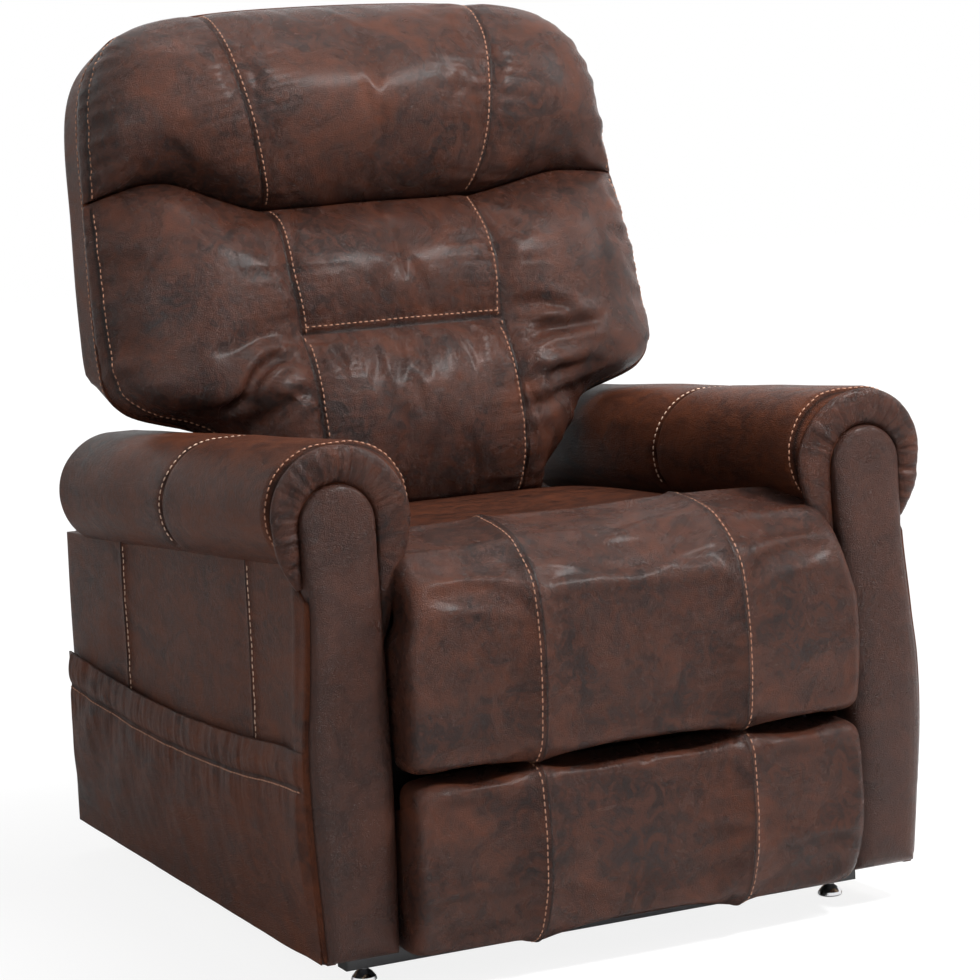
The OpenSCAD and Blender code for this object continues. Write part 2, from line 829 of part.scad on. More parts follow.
module footrest_motor() {
    eye = eye_at(foot_drive);
    start = cross_rear[0] - 5;
    color(motor_black) {
        along([start, eye[1]], [-1, 0], -motor_x)
            linear_motor(footrest_motor_len, 105, 70, 1);
        box([-motor_x - 8, -motor_x + 8], [start, start + 5], [cross_rear[1], cross_rear[1] + 20]);
    }
}

// ---------- footrest ----------

module footrest_side_plates() {
    strap_y = board_y + board_t + 1;
    low = [strap_y, foot_bottom + 82];
    color(steel_black)
        both_sides() {
            side_sweep(strap_x, strap_x + strap_t)
                difference() {
                    union() {
                        bar(foot_hinge, [strap_y, foot_hinge[1] - 60], 14);
                        bar([strap_y, foot_hinge[1] - 60], low, 12);
                    }
                    at(foot_hinge)
                        circle(pin_r + run_c);
                }
            side_sweep(lug_x, lug_x + strap_t)
                polygon([[board_y + board_t, drag_pin[1] + 30], [board_y + board_t, drag_pin[1] - 30],
                    drag_pin + [2, -9], drag_pin + [9, 2], drag_pin + [2, 9]]);
            cross_pin(drag_pin, strap_pin_r, drag_x - 2, lug_x + strap_t + 1);
            cross_pin(drag_pin, strap_pin_r + 3, drag_x - 1 - pin_head, drag_x - 1);
        }
}

module footrest_board() {
    color(timber)
        box([-board_half, board_half], [board_y, board_y + board_t], [foot_bottom + 24, foot_hinge[1] - 22]);
}

// Upper pillow: the roll of radius r round the hinge and the pad below it down to the crease, all of it
// kept in front of rear. A wing's smaller roll passes below the arm roll as the footrest swings.
function upper_profile(f, rear, r) = let (y0 = -pillow_front, back_y = min(board_y - soft_c, rear),
        shoulder = r < roll_c ? [foot_hinge[0] - r - 4, foot_hinge[1] - 8] : [y0 + 5, foot_hinge[1]])
    concat(
        [for (a = [0 : 15 : 165]) let (p = foot_hinge + r * dir(a))
            p[0] <= rear ? p : [rear, foot_hinge[1] + (r - 8) * a / 105]],
        [shoulder, [y0 + 1 - f, foot_hinge[1] - 45], [y0 + 1 - f, foot_hinge[1] - 85],
            [y0 + 7 - f, crease_z + 46], [y0 + 15, crease_z + 20], [y0 + 27, crease_z + 8],
            [y0 + 46, crease_z + 2], [min(back_y, board_y - soft_c - 6), crease_z + 1], [back_y, crease_z + 8],
            [back_y, foot_hinge[1] - 40], [back_y, foot_hinge[1] - 15],
            [min(board_y + board_t + 6, rear), foot_hinge[1] - 14]]);

// Ring of a pillow's profile at x, drawn in by the share k towards its core
function pillow_ring(x, k, core, profile) = [for (p = profile) let (d = p - core)
    [x, core[0] + d[0] * (1 - k), core[1] + d[1] * (1 - k)]];
function mirror_rows(rows) = concat([for (i = [len(rows) - 1 : -1 : 1])
    concat([-rows[i][0]], [for (k = [1 : len(rows[i]) - 1]) rows[i][k]])], rows);

module footrest_upper_pillow() {
    edge = strap_x - 2.5;
    free = rail_rear;
    wing_rear = foot_hinge[0] - 26;
    wing_r = roll_c - 19;
    core = [foot_hinge[0] - 20, foot_hinge[1] - 38];
    // beyond the hinge straps only the pad's front part goes on, as a wing
    color(leather_worn)
        skin([for (row = mirror_rows([[0, 0, 1, free, roll_c],
                [panel_seam * 0.46, 0, 1, free, roll_c], [panel_seam - 6, 0, 1, free, roll_c],
                [panel_seam, 0.025, 0.9, free, roll_c], [panel_seam + 6, 0, 1, free, roll_c],
                [edge - 75, 0, 0.9, free, roll_c], [edge - 35, 0.01, 0.8, free, roll_c],
                [edge - 11, 0.03, 0.6, free, roll_c], [edge, 0.05, 0.5, free, roll_c],
                [edge + 1, 0.055, 0.5, wing_rear, wing_r],
                [pillow_half - 8, 0.075, 0.4, wing_rear, wing_r],
                [pillow_half - 2, 0.13, 0.2, wing_rear, wing_r]]))
            pillow_ring(row[0], row[1], core, upper_profile(row[2], row[3], row[4]))]);
}

function lower_profile(f) = let (y0 = -pillow_front, back_y = board_y - soft_c, z0 = foot_bottom)
    [[y0 + 46, crease_z - 2], [y0 + 19, crease_z - 5], [y0 + 6, crease_z - 24], [y0 - f, crease_z - 52],
        [y0 - 1.5 * f, crease_z - 91], [y0 + 1 - 1.5 * f, z0 + 88], [y0 + 7 - f, z0 + 55], [y0 + 17, z0 + 24],
        [y0 + 32, z0 + 6], [y0 + 54, z0], [-base_front - 14, z0], [-base_front - 7, z0 + 5],
        [-base_front - 7, z0 + 14], [back_y, z0 + 24], [back_y, z0 + 90], [back_y, crease_z - 9],
        [back_y - 6, crease_z - 1]];

module footrest_lower_pillow() {
    core = [board_y - 30, 145];
    color(leather_worn)
        skin([for (row = mirror_rows([[0, 0, 1], [panel_seam * 0.46, 0, 1], [panel_seam - 4, 0, 1],
                [panel_seam + 2, 0.025, 0.9], [panel_seam + 8, 0, 1], [pillow_half - 94, 0, 0.9],
                [pillow_half - 44, 0.01, 0.8], [pillow_half - 14, 0.03, 0.6], [pillow_half - 5, 0.08, 0.4],
                [pillow_half, 0.16, 0.2]]))
            pillow_ring(row[0], row[1], core, lower_profile(row[2]))]);
}

module footrest_crank() {
    color(steel_grey) {
        cross_pin(crank_axis, short_shaft_r, -plate_x - plate_t - 4, plate_x + plate_t + 4);
        both_sides() {
            side_sweep(lug_x, lug_x + strap_t)
                bar(crank_axis, crank_pin, 12);
            cross_pin(crank_pin, strap_pin_r, drag_x - 2, lug_x + strap_t + 1);
            cross_pin(crank_pin, strap_pin_r + 3, drag_x - 1 - pin_head, drag_x - 1);
        }
        crank_ears(crank_axis, foot_drive, -motor_x);
    }
}

module drag_links() {
    color(steel_grey)
        both_sides()
            side_sweep(drag_x, drag_x + strap_t)
                difference() {
                    bar(drag_pin, crank_pin, 9);
                    at(drag_pin)
                        circle(strap_pin_r + run_c);
                    at(crank_pin)
                        circle(strap_pin_r + open_c);
                }
}

module footrest_rod() {
    eye = eye_at(foot_drive);
    start = cross_rear[0] - 5;
    color(zinc)
        along(eye, [-1, 0], -motor_x)
            motor_rod(start - eye[0] - footrest_motor_len + 85, foot_drive);
}

// ---------- back ----------

// Half width of the back at distance s along the lean
half_rows = [[-150, arm_in - 110], [-125, arm_in - 98], [-75, arm_in - 54], [-50, arm_in - 41],
    [-40, arm_in - 31], [-30, arm_in - 17], [-20, arm_in + 2], [-5, arm_in + 60],
    [20, back_half - 9], [50, back_half],
    [150, back_half - 3], [270, back_half - 13], [390, back_half - 23], [450, back_half - 44],
    [490, back_half - 82], [505, back_half - 116], [512, back_half - 146], [518, back_half - 186]];
function back_w(s) = table_at(half_rows, s);
// The same for a point behind the side seam, where the wings rise to pass over the arm rolls
function wing_w(s, t) = max(min(back_w(s), arm_in - 86),
    back_w(s - 0.7 * max(0, t) * min(1, max(0, (110 - s) / 60))));
// Rise of the top edge in its middle
function crown(x, s) = back_crown * max(0, 1 - pow(x / (back_half - 134), 2)) * min(1, max(0, (s - 430) / 60));
function yz(s, t) = let (p = lean(0, s, t)) [p[1], p[2]];

post_foot = -118;
post_face = 12;
post_d = 38;
post_out = hinge_x;
bracket_reach = 130;
back_rail_rows = [[-58, hinge_x - 4], [232, back_half - 54], [432, back_half - 132]];
back_rail_t = shell_d - cover_t - 4 - soft_c - post_face - post_d;

module back_brackets() {
    foot = yz(post_foot + 20, post_face + post_d / 2);
    top = yz(post_foot + bracket_reach, post_face + post_d / 2);
    color(steel_black)
        both_sides()
            side_sweep(hinge_x, hinge_x + plate_t)
                difference() {
                    union() {
                        bar(back_hinge, foot, 15);
                        bar(foot, top, 17);
                        bar(back_hinge, back_tube, 17);
                    }
                    at(back_hinge)
                        circle(back_shaft_r + run_c);
                }
}

module recline_lever() {
    color(steel_black) {
        cross_pin(back_tube, 12, -hinge_x, hinge_x);
        crank_ears(back_tube, back_drive, motor_x);
    }
}

// Child drawn in the back's own frame: x across, y behind the side seam, z along the lean
module on_back() {
    translate([0, seam_foot[0], seam_foot[1]])
        rotate([-back_lean, 0, 0])
            children();
}

module back_posts() {
    color(timber)
        on_back()
            both_sides()
                box([post_out - post_t, post_out], [post_face, post_face + post_d],
                    [post_foot, back_len - 30]);
}

module back_rails() {
    color(timber)
        on_back()
            for (row = back_rail_rows)
                box([-row[1], row[1]], [post_face + post_d, post_face + post_d + back_rail_t],
                    [row[0], row[0] + 40]);
}

module back_springs() {
    s0 = back_rail_rows[0][0] + 20;
    run = back_rail_rows[1][0] + 20 - s0;
    pitch = 2 * (post_out - post_t) / 5;
    color(zinc)
        on_back()
            for (i = [1 : 4])
                translate([-post_out + post_t + i * pitch, post_face + post_d, s0])
                    rotate([90, 0, 0])
                        linear_extrude(spring_wire)
                            sinuous(run, run / 18, 24, spring_wire);
}

// Ring of the back's outer cover at distance s, drawn in by d all round; open > 0 reaches out of the front
function cover_ring(s, d, open) = let (x0 = back_w(s) - d, t1 = shell_d - d, x1 = wing_w(s, t1 * 0.35) - d,
        x = wing_w(s, t1) - d, r = min(30, x / 3))
    [for (p = [[x0, -open], [x1, t1 * 0.35], [max(x, wing_w(s, t1 - r) - d) - 2, t1 - r],
            [x - r * 0.3, t1 - r * 0.3], [x - r, t1 - 4], [x * 0.5, t1 + back_dome * 0.7], [0, t1 + back_dome],
            [-x * 0.5, t1 + back_dome * 0.7], [-x + r, t1 - 4], [-x + r * 0.3, t1 - r * 0.3],
            [2 - max(x, wing_w(s, t1 - r) - d), t1 - r], [-x1, t1 * 0.35], [-x0, -open]])
        lean(p[0], s + crown(p[0], s), p[1])];

module back_cover() {
    stations = [-112, -75, -50, -20, -5, 10, 20, 35, 50, 80, 110, 150, 270, 390, 450, 490];
    color(leather) {
        difference() {
            skin(concat([for (s = stations) cover_ring(s, 0, 0)],
                [cover_ring(505, 4, -3), cover_ring(513, 12, -10), cover_ring(518, 26, -20)]));
            skin(concat([cover_ring(-130, cover_t, 40)],
                [for (s = [-112, -75, -50, -20, -5, 10, 20, 35, 50, 80, 110, 150, 270, 390, 450])
                    cover_ring(s, cover_t, 40)],
                [cover_ring(486, cover_t, 40), cover_ring(500, cover_t + 8, 40)]));
        }
        // tail that closes the gap above the rear panel, between the brackets
        on_back()
            box([4 - hinge_x, hinge_x - 4], [shell_d - cover_t, shell_d - 2], [-185, -108]);
    }
}

// Swell of the front of the back at distance s, and how it falls away towards the sides
lumbar_rows = [[-150, 34], [-142, 60], [-125, 80], [-90, 92], [-50, lumbar_bulge], [-20, lumbar_bulge],
    [-5, 93], [10, 91], [20, 89], [45, 84], [66, 80], [71, 76], [76, 79], [116, 86], [151, 88], [195, 76],
    [228, 52], [246.5, 30]];
head_rows = [[250, 32], [262, 56], [280, 70], [315, 88], [352, head_bulge], [394, head_bulge], [435, 91],
    [465, 76], [488, 52], [504, 28], [511, 8]];
function side_fall(u) = table_at([[0, 1.04], [0.2, 1.04], [0.34, 1], [0.38, 0.94], [0.42, 0.99], [0.6, 0.97],
    [0.78, 0.86], [0.9, 0.62], [0.97, 0.3], [1, 0.02]], u);

function pad_ring(s, w, swell) = let (
        us = [-1, -0.97, -0.9, -0.78, -0.6, -0.42, -0.38, -0.34, -0.17, 0, 0.17, 0.34, 0.38, 0.42, 0.6, 0.78,
            0.9, 0.97, 1],
        x_in = w - cover_t - 4, deep = s > 440 || s < 60 ? -soft_c : 6)
    concat([for (u = us) lean(u * w, s + crown(u * w, s), -soft_c - swell * side_fall(abs(u)))],
        [for (p = [[x_in, -soft_c], [x_in - 4, deep], [x_in / 2, deep], [0, deep], [-x_in / 2, deep],
                [4 - x_in, deep], [-x_in, -soft_c]]) lean(p[0], s + crown(p[0], s), p[1])]);

module pad(rows) {
    color(leather_worn)
        skin([for (row = rows) pad_ring(row[0], back_w(row[0]) - 0.5, row[1])]);
}

module lumbar_cushion() {
    pad(lumbar_rows);
}

module headrest_cushion() {
    pad(head_rows);
}

module recline_rod() {
    eye = eye_at(back_drive);
    start = cross_front[0] + 1;
    color(zinc)
        along(eye, [1, 0], motor_x)
            motor_rod(eye[0] - start - recline_motor_len + 25, back_drive);
}

base_front_tube();
base_rear_tube();
base_side_rails();
tube_end_caps();
foot_glides();
lift_pivot_brackets();
lift_pivot_pins();
lift_motor();
long_links();
long_link_shaft();
short_links();
short_link_shaft();
lift_rod();
side_plates();
shaft_bushes();
cross_tubes();
front_lift_pins();
back_shaft();
footrest_ears();
arm_brackets();
seat_rails();
seat_springs();
seat_cushion();
right_arm_frame();
right_arm_outer();
right_arm_inner();
right_arm_roll();
right_arm_front();
left_arm_frame();
left_arm_outer();
left_arm_inner();
left_arm_roll();
left_arm_front();
side_pocket();
rear_panel();
power_inlet();
control_box();
recline_motor();
footrest_motor();
footrest_side_plates();
footrest_board();
footrest_upper_pillow();
footrest_lower_pillow();
footrest_crank();
drag_links();
footrest_rod();
back_brackets();
recline_lever();
back_posts();
back_rails();
back_springs();
back_cover();
headrest_cushion();
lumbar_cushion();
recline_rod();
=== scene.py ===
# %% [markdown]
# # A powered lift recliner in stitched leather
# The frame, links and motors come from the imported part. This lesson dresses them: padded leather
# cushions, rolled arms, a gathered pocket, rows of topstitching, and the light that shows them.
# The sitter faces -Y, +Z is up and +X is the sitter's left. Lengths are in metres.

# %% Load the frame and keep its box
import json
import math

import bmesh
import bpy
import numpy as np
from mathutils import Matrix, Vector, noise
from mathutils.bvhtree import BVHTree


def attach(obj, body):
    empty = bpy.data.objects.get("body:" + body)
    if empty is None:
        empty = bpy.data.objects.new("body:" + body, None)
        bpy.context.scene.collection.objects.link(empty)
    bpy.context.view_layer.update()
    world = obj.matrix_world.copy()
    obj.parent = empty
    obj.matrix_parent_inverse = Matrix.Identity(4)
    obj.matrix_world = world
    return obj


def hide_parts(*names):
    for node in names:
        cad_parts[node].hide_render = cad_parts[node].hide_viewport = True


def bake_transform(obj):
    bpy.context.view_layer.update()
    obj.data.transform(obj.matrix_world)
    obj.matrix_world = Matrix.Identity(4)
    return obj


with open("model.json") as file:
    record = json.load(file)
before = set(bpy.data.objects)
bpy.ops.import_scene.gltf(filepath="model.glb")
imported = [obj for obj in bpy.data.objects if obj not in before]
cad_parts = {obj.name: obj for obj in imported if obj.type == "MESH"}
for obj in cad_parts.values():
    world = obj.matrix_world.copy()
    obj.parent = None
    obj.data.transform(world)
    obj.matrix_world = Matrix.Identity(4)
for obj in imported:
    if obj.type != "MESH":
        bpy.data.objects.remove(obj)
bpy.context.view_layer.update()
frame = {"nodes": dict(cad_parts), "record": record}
scene = bpy.context.scene

# %% [markdown]
# ## Camera
# A long lens from a little above the seat, turned so that the right arm and its pocket show. A Track To
# constraint could aim it, but three angles are plain numbers that can be nudged one at a time: round the
# chair, above the floor, and the tilt of the frame. The camera's axes are built from them.

# %% Place the camera
AZIMUTH = math.radians(-25.715)
ELEVATION = math.radians(8.41)
ROLL = math.radians(-2.583)
LOOK_AT = Vector((0.040, 0.0, 0.495))
DISTANCE = 4.168
LENS = 120.4

back_dir = Vector((math.sin(AZIMUTH) * math.cos(ELEVATION), -math.cos(AZIMUTH) * math.cos(ELEVATION),
                   math.sin(ELEVATION)))
right_dir = (-back_dir).cross(Vector((0, 0, 1))).normalized()
up_dir = right_dir.cross(-back_dir)
right_tilted = right_dir * math.cos(ROLL) + up_dir * math.sin(ROLL)
up_tilted = -right_dir * math.sin(ROLL) + up_dir * math.cos(ROLL)
camera_data = bpy.data.cameras.new("camera")
camera_data.lens = LENS
camera_data.sensor_width = 36
camera_data.clip_end = 50
camera = bpy.data.objects.new("camera", camera_data)
scene.collection.objects.link(camera)
turn = Matrix((right_tilted, up_tilted, back_dir)).transposed().to_4x4()
camera.matrix_world = Matrix.Translation(LOOK_AT + back_dir * DISTANCE) @ turn
scene.camera = camera
print("camera at", tuple(round(c, 3) for c in camera.matrix_world.translation))

# %% [markdown]
# ## Small tools
# `new_piece` turns a finished bmesh into an object. `smooth_table` reads a smooth curve through a few
# named points. A curve object could hold such a crown too, but a table is read at any point and stays
# beside the cushion it belongs to.

# %% Pieces and curves
def new_piece(name, bm, material):
    mesh = bpy.data.meshes.new(name)
    bm.to_mesh(mesh)
    bm.free()
    mesh.shade_smooth()
    mesh.materials.append(material)
    piece = bpy.data.objects.new(name, mesh)
    scene.collection.objects.link(piece)
    return piece


def smooth_table(rows, x):
    """Cubic reading of [x, y] rows, without overshoot at the ends."""
    if x <= rows[0][0]:
        return rows[0][1]
    if x >= rows[-1][0]:
        return rows[-1][1]
    i = max(k for k in range(len(rows) - 1) if rows[k][0] <= x)
    x0, y0 = rows[i]
    x1, y1 = rows[i + 1]
    before = rows[i - 1] if i else rows[i]
    after = rows[i + 2] if i + 2 < len(rows) else rows[i + 1]
    m0 = (y1 - before[1]) / (x1 - before[0]) * (x1 - x0)
    m1 = (after[1] - y0) / (after[0] - x0) * (x1 - x0)
    if i == 0:
        m0 = y1 - y0
    if i + 2 == len(rows):
        m1 = y1 - y0
    t = (x - x0) / (x1 - x0)
    leaving = ((2 * t - 3) * t * t + 1) * y0 + ((t - 2) * t + 1) * t * m0
    return leaving + (3 - 2 * t) * t * t * y1 + (t - 1) * t * t * m1


def running_length(points):
    """Length from the first point of a route to each of its points."""
    lengths = [0.0]
    for a, b in zip(points, points[1:]):
        lengths.append(lengths[-1] + math.dist(a, b))
    return lengths


def path_at(points, t):
    """A point a share t along a smooth route through (y, z) points, by its length."""
    lengths = running_length(points)
    return [smooth_table(list(zip(lengths, values)), t * lengths[-1]) for values in zip(*points)]


def path_normal(points, t, nudge=0.004):
    """The outward side of that route: to the left of its run, seen with +y to the right and +z up."""
    a = path_at(points, max(0.0, t - nudge))
    b = path_at(points, min(1.0, t + nudge))
    dy, dz = b[0] - a[0], b[1] - a[1]
    size = math.hypot(dy, dz) or 1.0
    return dz / size, -dy / size


print("a table through 0, 1 and 0 reads", smooth_table([[0, 0], [1, 1], [2, 0]], 0.5), "halfway up")


# %% Two small helpers
def clamp(value):
    return min(1.0, max(0.0, value))


def flutter(x, y, z):
    """Smooth noise from -1 to 1, the same on every run."""
    return noise.noise(Vector((x, y, z)))


print("noise at one place:", round(flutter(0.3, 0.2, 0.1), 3))

# %% [markdown]
# ## Leather
# Bonded leather on a chair like this is dark brown with rust-coloured mottling rubbed into it, a pebble
# grain about a millimetre across, and a satin coat. The grain could be an image, but an image needs an
# unwrapped surface and shows where it repeats. Here the mottling is two sizes of noise on the piece's own
# coordinates, the grain is Voronoi cells for the bump, and a `seam` value kept on each point paints shade
# into the leather's grooves: the dark there is painted shade, not a colour of the leather.

# %% Nodes in few words
def node(tree, kind, **values):
    n = tree.nodes.new(kind)
    for key, value in values.items():
        if key.startswith("in_"):
            n.inputs[key[3:].replace("_", " ")].default_value = value
        else:
            setattr(n, key, value)
    return n


def feed(tree, socket, source):
    """Links another node's output to a socket, or sets the socket to a plain value."""
    if isinstance(source, bpy.types.NodeSocket):
        tree.links.new(source, socket)
    else:
        socket.default_value = source


def grey(value):
    return (value,) * 3


def ramp(tree, source, stops):
    n = tree.nodes.new("ShaderNodeValToRGB")
    while len(n.color_ramp.elements) > 1:
        n.color_ramp.elements.remove(n.color_ramp.elements[-1])
    for k, (place, colour) in enumerate(stops):
        element = n.color_ramp.elements[0] if k == 0 else n.color_ramp.elements.new(place)
        element.position = place
        element.color = (*colour, 1)
    feed(tree, n.inputs["Fac"], source)
    return n.outputs["Color"]


def noise_pattern(tree, where, scale, detail, roughness=0.5, distortion=0.0):
    n = node(tree, "ShaderNodeTexNoise", in_Scale=scale, in_Detail=detail, in_Roughness=roughness,
             in_Distortion=distortion)
    feed(tree, n.inputs["Vector"], where)
    return n


def mix_colours(tree, share, first, second, blend="MIX"):
    n = node(tree, "ShaderNodeMix", data_type="RGBA", blend_type=blend)
    for index, source in ((0, share), (6, first), (7, second)):
        feed(tree, n.inputs[index], source)
    return n.outputs[2]


def reckon(tree, operation, first, second):
    n = node(tree, "ShaderNodeMath", operation=operation)
    feed(tree, n.inputs[0], first)
    feed(tree, n.inputs[1], second)
    return n.outputs[0]


def remap(tree, source, **limits):
    n = node(tree, "ShaderNodeMapRange", **limits)
    feed(tree, n.inputs["Value"], source)
    return n.outputs["Result"]


def bump(tree, height, strength, distance):
    n = node(tree, "ShaderNodeBump", in_Strength=strength, in_Distance=distance)
    feed(tree, n.inputs["Height"], height)
    return n


def new_material(name):
    material = bpy.data.materials.new(name)
    material.use_nodes = True
    return material, material.node_tree, material.node_tree.nodes["Principled BSDF"]


# %% Leather
# Painted shade: a near-black colour mixed into the leather along its seam grooves, in place of the shade
# that falls in them.
GROOVE_SHADE_COLOUR = (0.0035, 0.0014, 0.0010, 1)


def leather(name, dark=(0.013, 0.0050, 0.0036), brown=(0.034, 0.0122, 0.0078), rust=(0.080, 0.0225, 0.0098),
            rough=0.25, wear=0.0, shine=0.17, stretch=1.0):
    """A stretch below 1 draws the hide's pattern out along the arms, as it is cut on the side panels."""
    material, tree, shader = new_material(name)
    place = node(tree, "ShaderNodeMapping", in_Scale=(1.0, stretch, 1.0))
    feed(tree, place.inputs["Vector"], tree.nodes.new("ShaderNodeTexCoord").outputs["Object"])
    where = place.outputs["Vector"]
    clouds = noise_pattern(tree, where, 12.0, 7.0, 0.66, 0.9).outputs["Fac"]
    tone = ramp(tree, clouds, [(0.36, dark), (0.54, brown), (0.72, rust)])
    specks = noise_pattern(tree, where, 46.0, 7.0, 0.7, 1.2).outputs["Fac"]
    rubbed = ramp(tree, specks, [(0.42, grey(0)), (0.60, grey(1))])
    rusty = mix_colours(tree, reckon(tree, "MULTIPLY", rubbed, 0.42 + wear), tone,
                        (*[c * 1.15 for c in rust], 1))
    # the seam value mixes the painted groove shade into the base colour
    seam = node(tree, "ShaderNodeAttribute", attribute_name="seam")
    feed(tree, shader.inputs["Base Color"], mix_colours(tree, seam.outputs["Fac"], rusty, GROOVE_SHADE_COLOUR))
    gloss = ramp(tree, clouds, [(0.30, grey(rough - 0.05)), (0.75, grey(rough + 0.12))])
    feed(tree, shader.inputs["Roughness"], gloss)
    shader.inputs["Specular IOR Level"].default_value = shine
    shader.inputs["Coat Weight"].default_value = shine * 0.2
    shader.inputs["Coat Roughness"].default_value = 0.24
    # grain: creased cells bent by a fine noise, over long soft wrinkles
    warp = noise_pattern(tree, where, 240.0, 3.0, 0.6).outputs["Color"]
    cells = node(tree, "ShaderNodeTexVoronoi", feature="DISTANCE_TO_EDGE", in_Scale=520.0)
    feed(tree, cells.inputs["Vector"], mix_colours(tree, 0.0016, where, warp, "LINEAR_LIGHT"))
    creases = ramp(tree, cells.outputs["Distance"], [(0.0, grey(0)), (0.16, grey(0.8)), (0.4, grey(1))])
    wrinkle = noise_pattern(tree, where, 95.0, 6.0, 0.68, 0.7).outputs["Fac"]
    folds = bump(tree, wrinkle, 0.65, 0.0021)
    feed(tree, folds.inputs["Normal"], bump(tree, creases, 0.9, 0.0007).outputs["Normal"])
    feed(tree, shader.inputs["Normal"], folds.outputs["Normal"])
    return material


LEATHER = leather("leather")
LEATHER_SIDE = leather("leather_side", dark=(0.024, 0.0086, 0.0056), brown=(0.060, 0.0203, 0.0115),
                       rust=(0.098, 0.0290, 0.0125), rough=0.34, wear=0.15, shine=0.055, stretch=0.5)
LEATHER_COLUMN = leather("leather_column", dark=(0.026, 0.0100, 0.0070), brown=(0.036, 0.0132, 0.0086),
                         rust=(0.058, 0.0190, 0.0105), rough=0.28, shine=0.19)
# The seat top's leather: its matte, low-shine finish is the leather's own, but its slightly darker colours
# are painted shade for the top.
LEATHER_TOP_SHADED = leather("leather_top_shaded", dark=(0.012, 0.0044, 0.0030), brown=(0.032, 0.0115, 0.0070),
                      rust=(0.078, 0.0230, 0.0105), rough=0.50, wear=0.2, shine=0.05)
print("leathers:", [m.name for m in (LEATHER, LEATHER_SIDE, LEATHER_COLUMN, LEATHER_TOP_SHADED)])

# %% [markdown]
# ## Metal, timber and plastic
# The base is powder-coated tube, the links are steel, the glides are chromed, and the arm frames are sawn
# timber. One colour alone would look like a toy, so a fine noise varies the colour, the gloss and the
# surface a little, and the timber's noise is stretched along its grain.

# %% Plain finishes
def simple_finish(name, colour, rough, metal=0.0, coat=0.0, speckle=0.25, size=60.0):
    """A painted, plated, moulded or sawn surface: one colour with a faint uneven finish."""
    material, tree, shader = new_material(name)
    shader.inputs["Metallic"].default_value = metal
    shader.inputs["Coat Weight"].default_value = coat
    where = tree.nodes.new("ShaderNodeTexCoord").outputs["Object"]
    spots = noise_pattern(tree, where, size, 5.0, 0.6).outputs["Fac"]
    low = [c * (1 - speckle) for c in colour]
    high = [min(1.0, c * (1 + speckle)) for c in colour]
    feed(tree, shader.inputs["Base Color"], ramp(tree, spots, [(0.3, low), (0.7, high)]))
    gloss = ramp(tree, spots, [(0.3, grey(rough - 0.05)), (0.7, grey(rough + 0.06))])
    feed(tree, shader.inputs["Roughness"], gloss)
    fine = noise_pattern(tree, where, size * 14, 3.0).outputs["Fac"]
    feed(tree, shader.inputs["Normal"], bump(tree, fine, 0.4, 0.0002).outputs["Normal"])
    return material


def sawn_timber(name):
    material = simple_finish(name, (0.50, 0.33, 0.18), 0.7)
    tree = material.node_tree
    place = next(n for n in tree.nodes if n.type == "TEX_COORD")
    drawn = node(tree, "ShaderNodeMapping", in_Scale=(60, 4, 30))
    feed(tree, drawn.inputs["Vector"], place.outputs["Object"])
    rings = noise_pattern(tree, drawn.outputs["Vector"], 2.2, 6.0, distortion=1.5).outputs["Fac"]
    tint = ramp(tree, rings, [(0.35, (0.36, 0.22, 0.11)), (0.6, (0.58, 0.40, 0.23))])
    feed(tree, tree.nodes["Principled BSDF"].inputs["Base Color"], tint)
    return material


FINISHES = {
    "powder_coat": simple_finish("powder_coat", (0.028, 0.028, 0.032), 0.42, coat=0.2),
    "bare_steel": simple_finish("bare_steel", (0.36, 0.37, 0.39), 0.38, metal=1.0),
    "chrome": simple_finish("chrome", (0.75, 0.75, 0.77), 0.12, metal=1.0, speckle=0.05),
    "zinc": simple_finish("zinc", (0.55, 0.56, 0.58), 0.3, metal=1.0, speckle=0.12),
    "timber": sawn_timber("timber"),
    "nylon": simple_finish("nylon", (0.70, 0.68, 0.60), 0.5, speckle=0.05),
    "black_plastic": simple_finish("black_plastic", (0.018, 0.018, 0.02), 0.5, speckle=0.2),
    "dust_cloth": simple_finish("dust_cloth", (0.006, 0.005, 0.005), 0.95, speckle=0.3, size=400.0),
    "leather": LEATHER_SIDE,
    "padded_leather": LEATHER,
}
slots = {s["node"]: s["material_slot"] for s in frame["record"]["subparts"]}
for name, part in frame["nodes"].items():
    part.data.materials.clear()
    part.data.materials.append(FINISHES["dust_cloth" if name == "footrest_board" else slots[name]])
print("finishes:", sorted(FINISHES))

# %% [markdown]
# ## Blocks that become cushions
# A cushion starts as a cube cut into a fine grid. Each grid point is then moved by a rule of three
# shares: u across, v along and w through the thickness. Sculpting could shape it too, but a cube keeps the
# piece closed, and its even grid is what the cloth simulation and the seams need.

# %% Grid block
def grid_block(name, cuts, place, material):
    bm = bmesh.new()
    bmesh.ops.create_cube(bm, size=2.0)
    for axis, count in enumerate(cuts):
        along = [e for e in bm.edges if abs(e.verts[0].co[axis] - e.verts[1].co[axis]) > 1e-4]
        if count > 1:
            bmesh.ops.subdivide_edges(bm, edges=along, cuts=count - 1, use_grid_fill=True)
    layers = [bm.verts.layers.float.new(letter) for letter in "uvw"]
    for vert in bm.verts:
        shares = vert.co.x, (vert.co.y + 1) / 2, (vert.co.z + 1) / 2
        for layer, share in zip(layers, shares):
            vert[layer] = share
        vert.co = place(*shares)
    bmesh.ops.recalc_face_normals(bm, faces=bm.faces)
    return new_piece(name, bm, material)


# %% Reading and writing all points at once
def read_all(rows, key, width):
    out = np.empty(len(rows) * width)
    rows.foreach_get(key, out)
    return out.reshape(-1, width)


def coordinates(piece):
    return read_all(piece.data.vertices, "co", 3)


def vertex_normals(piece):
    return read_all(piece.data.vertex_normals, "vector", 3)


def values_of(piece, name):
    return read_all(piece.data.attributes[name].data, "value", 1)[:, 0]


def set_coordinates(piece, points):
    piece.data.vertices.foreach_set("co", np.ascontiguousarray(points, dtype=np.float64).ravel())
    piece.data.update()


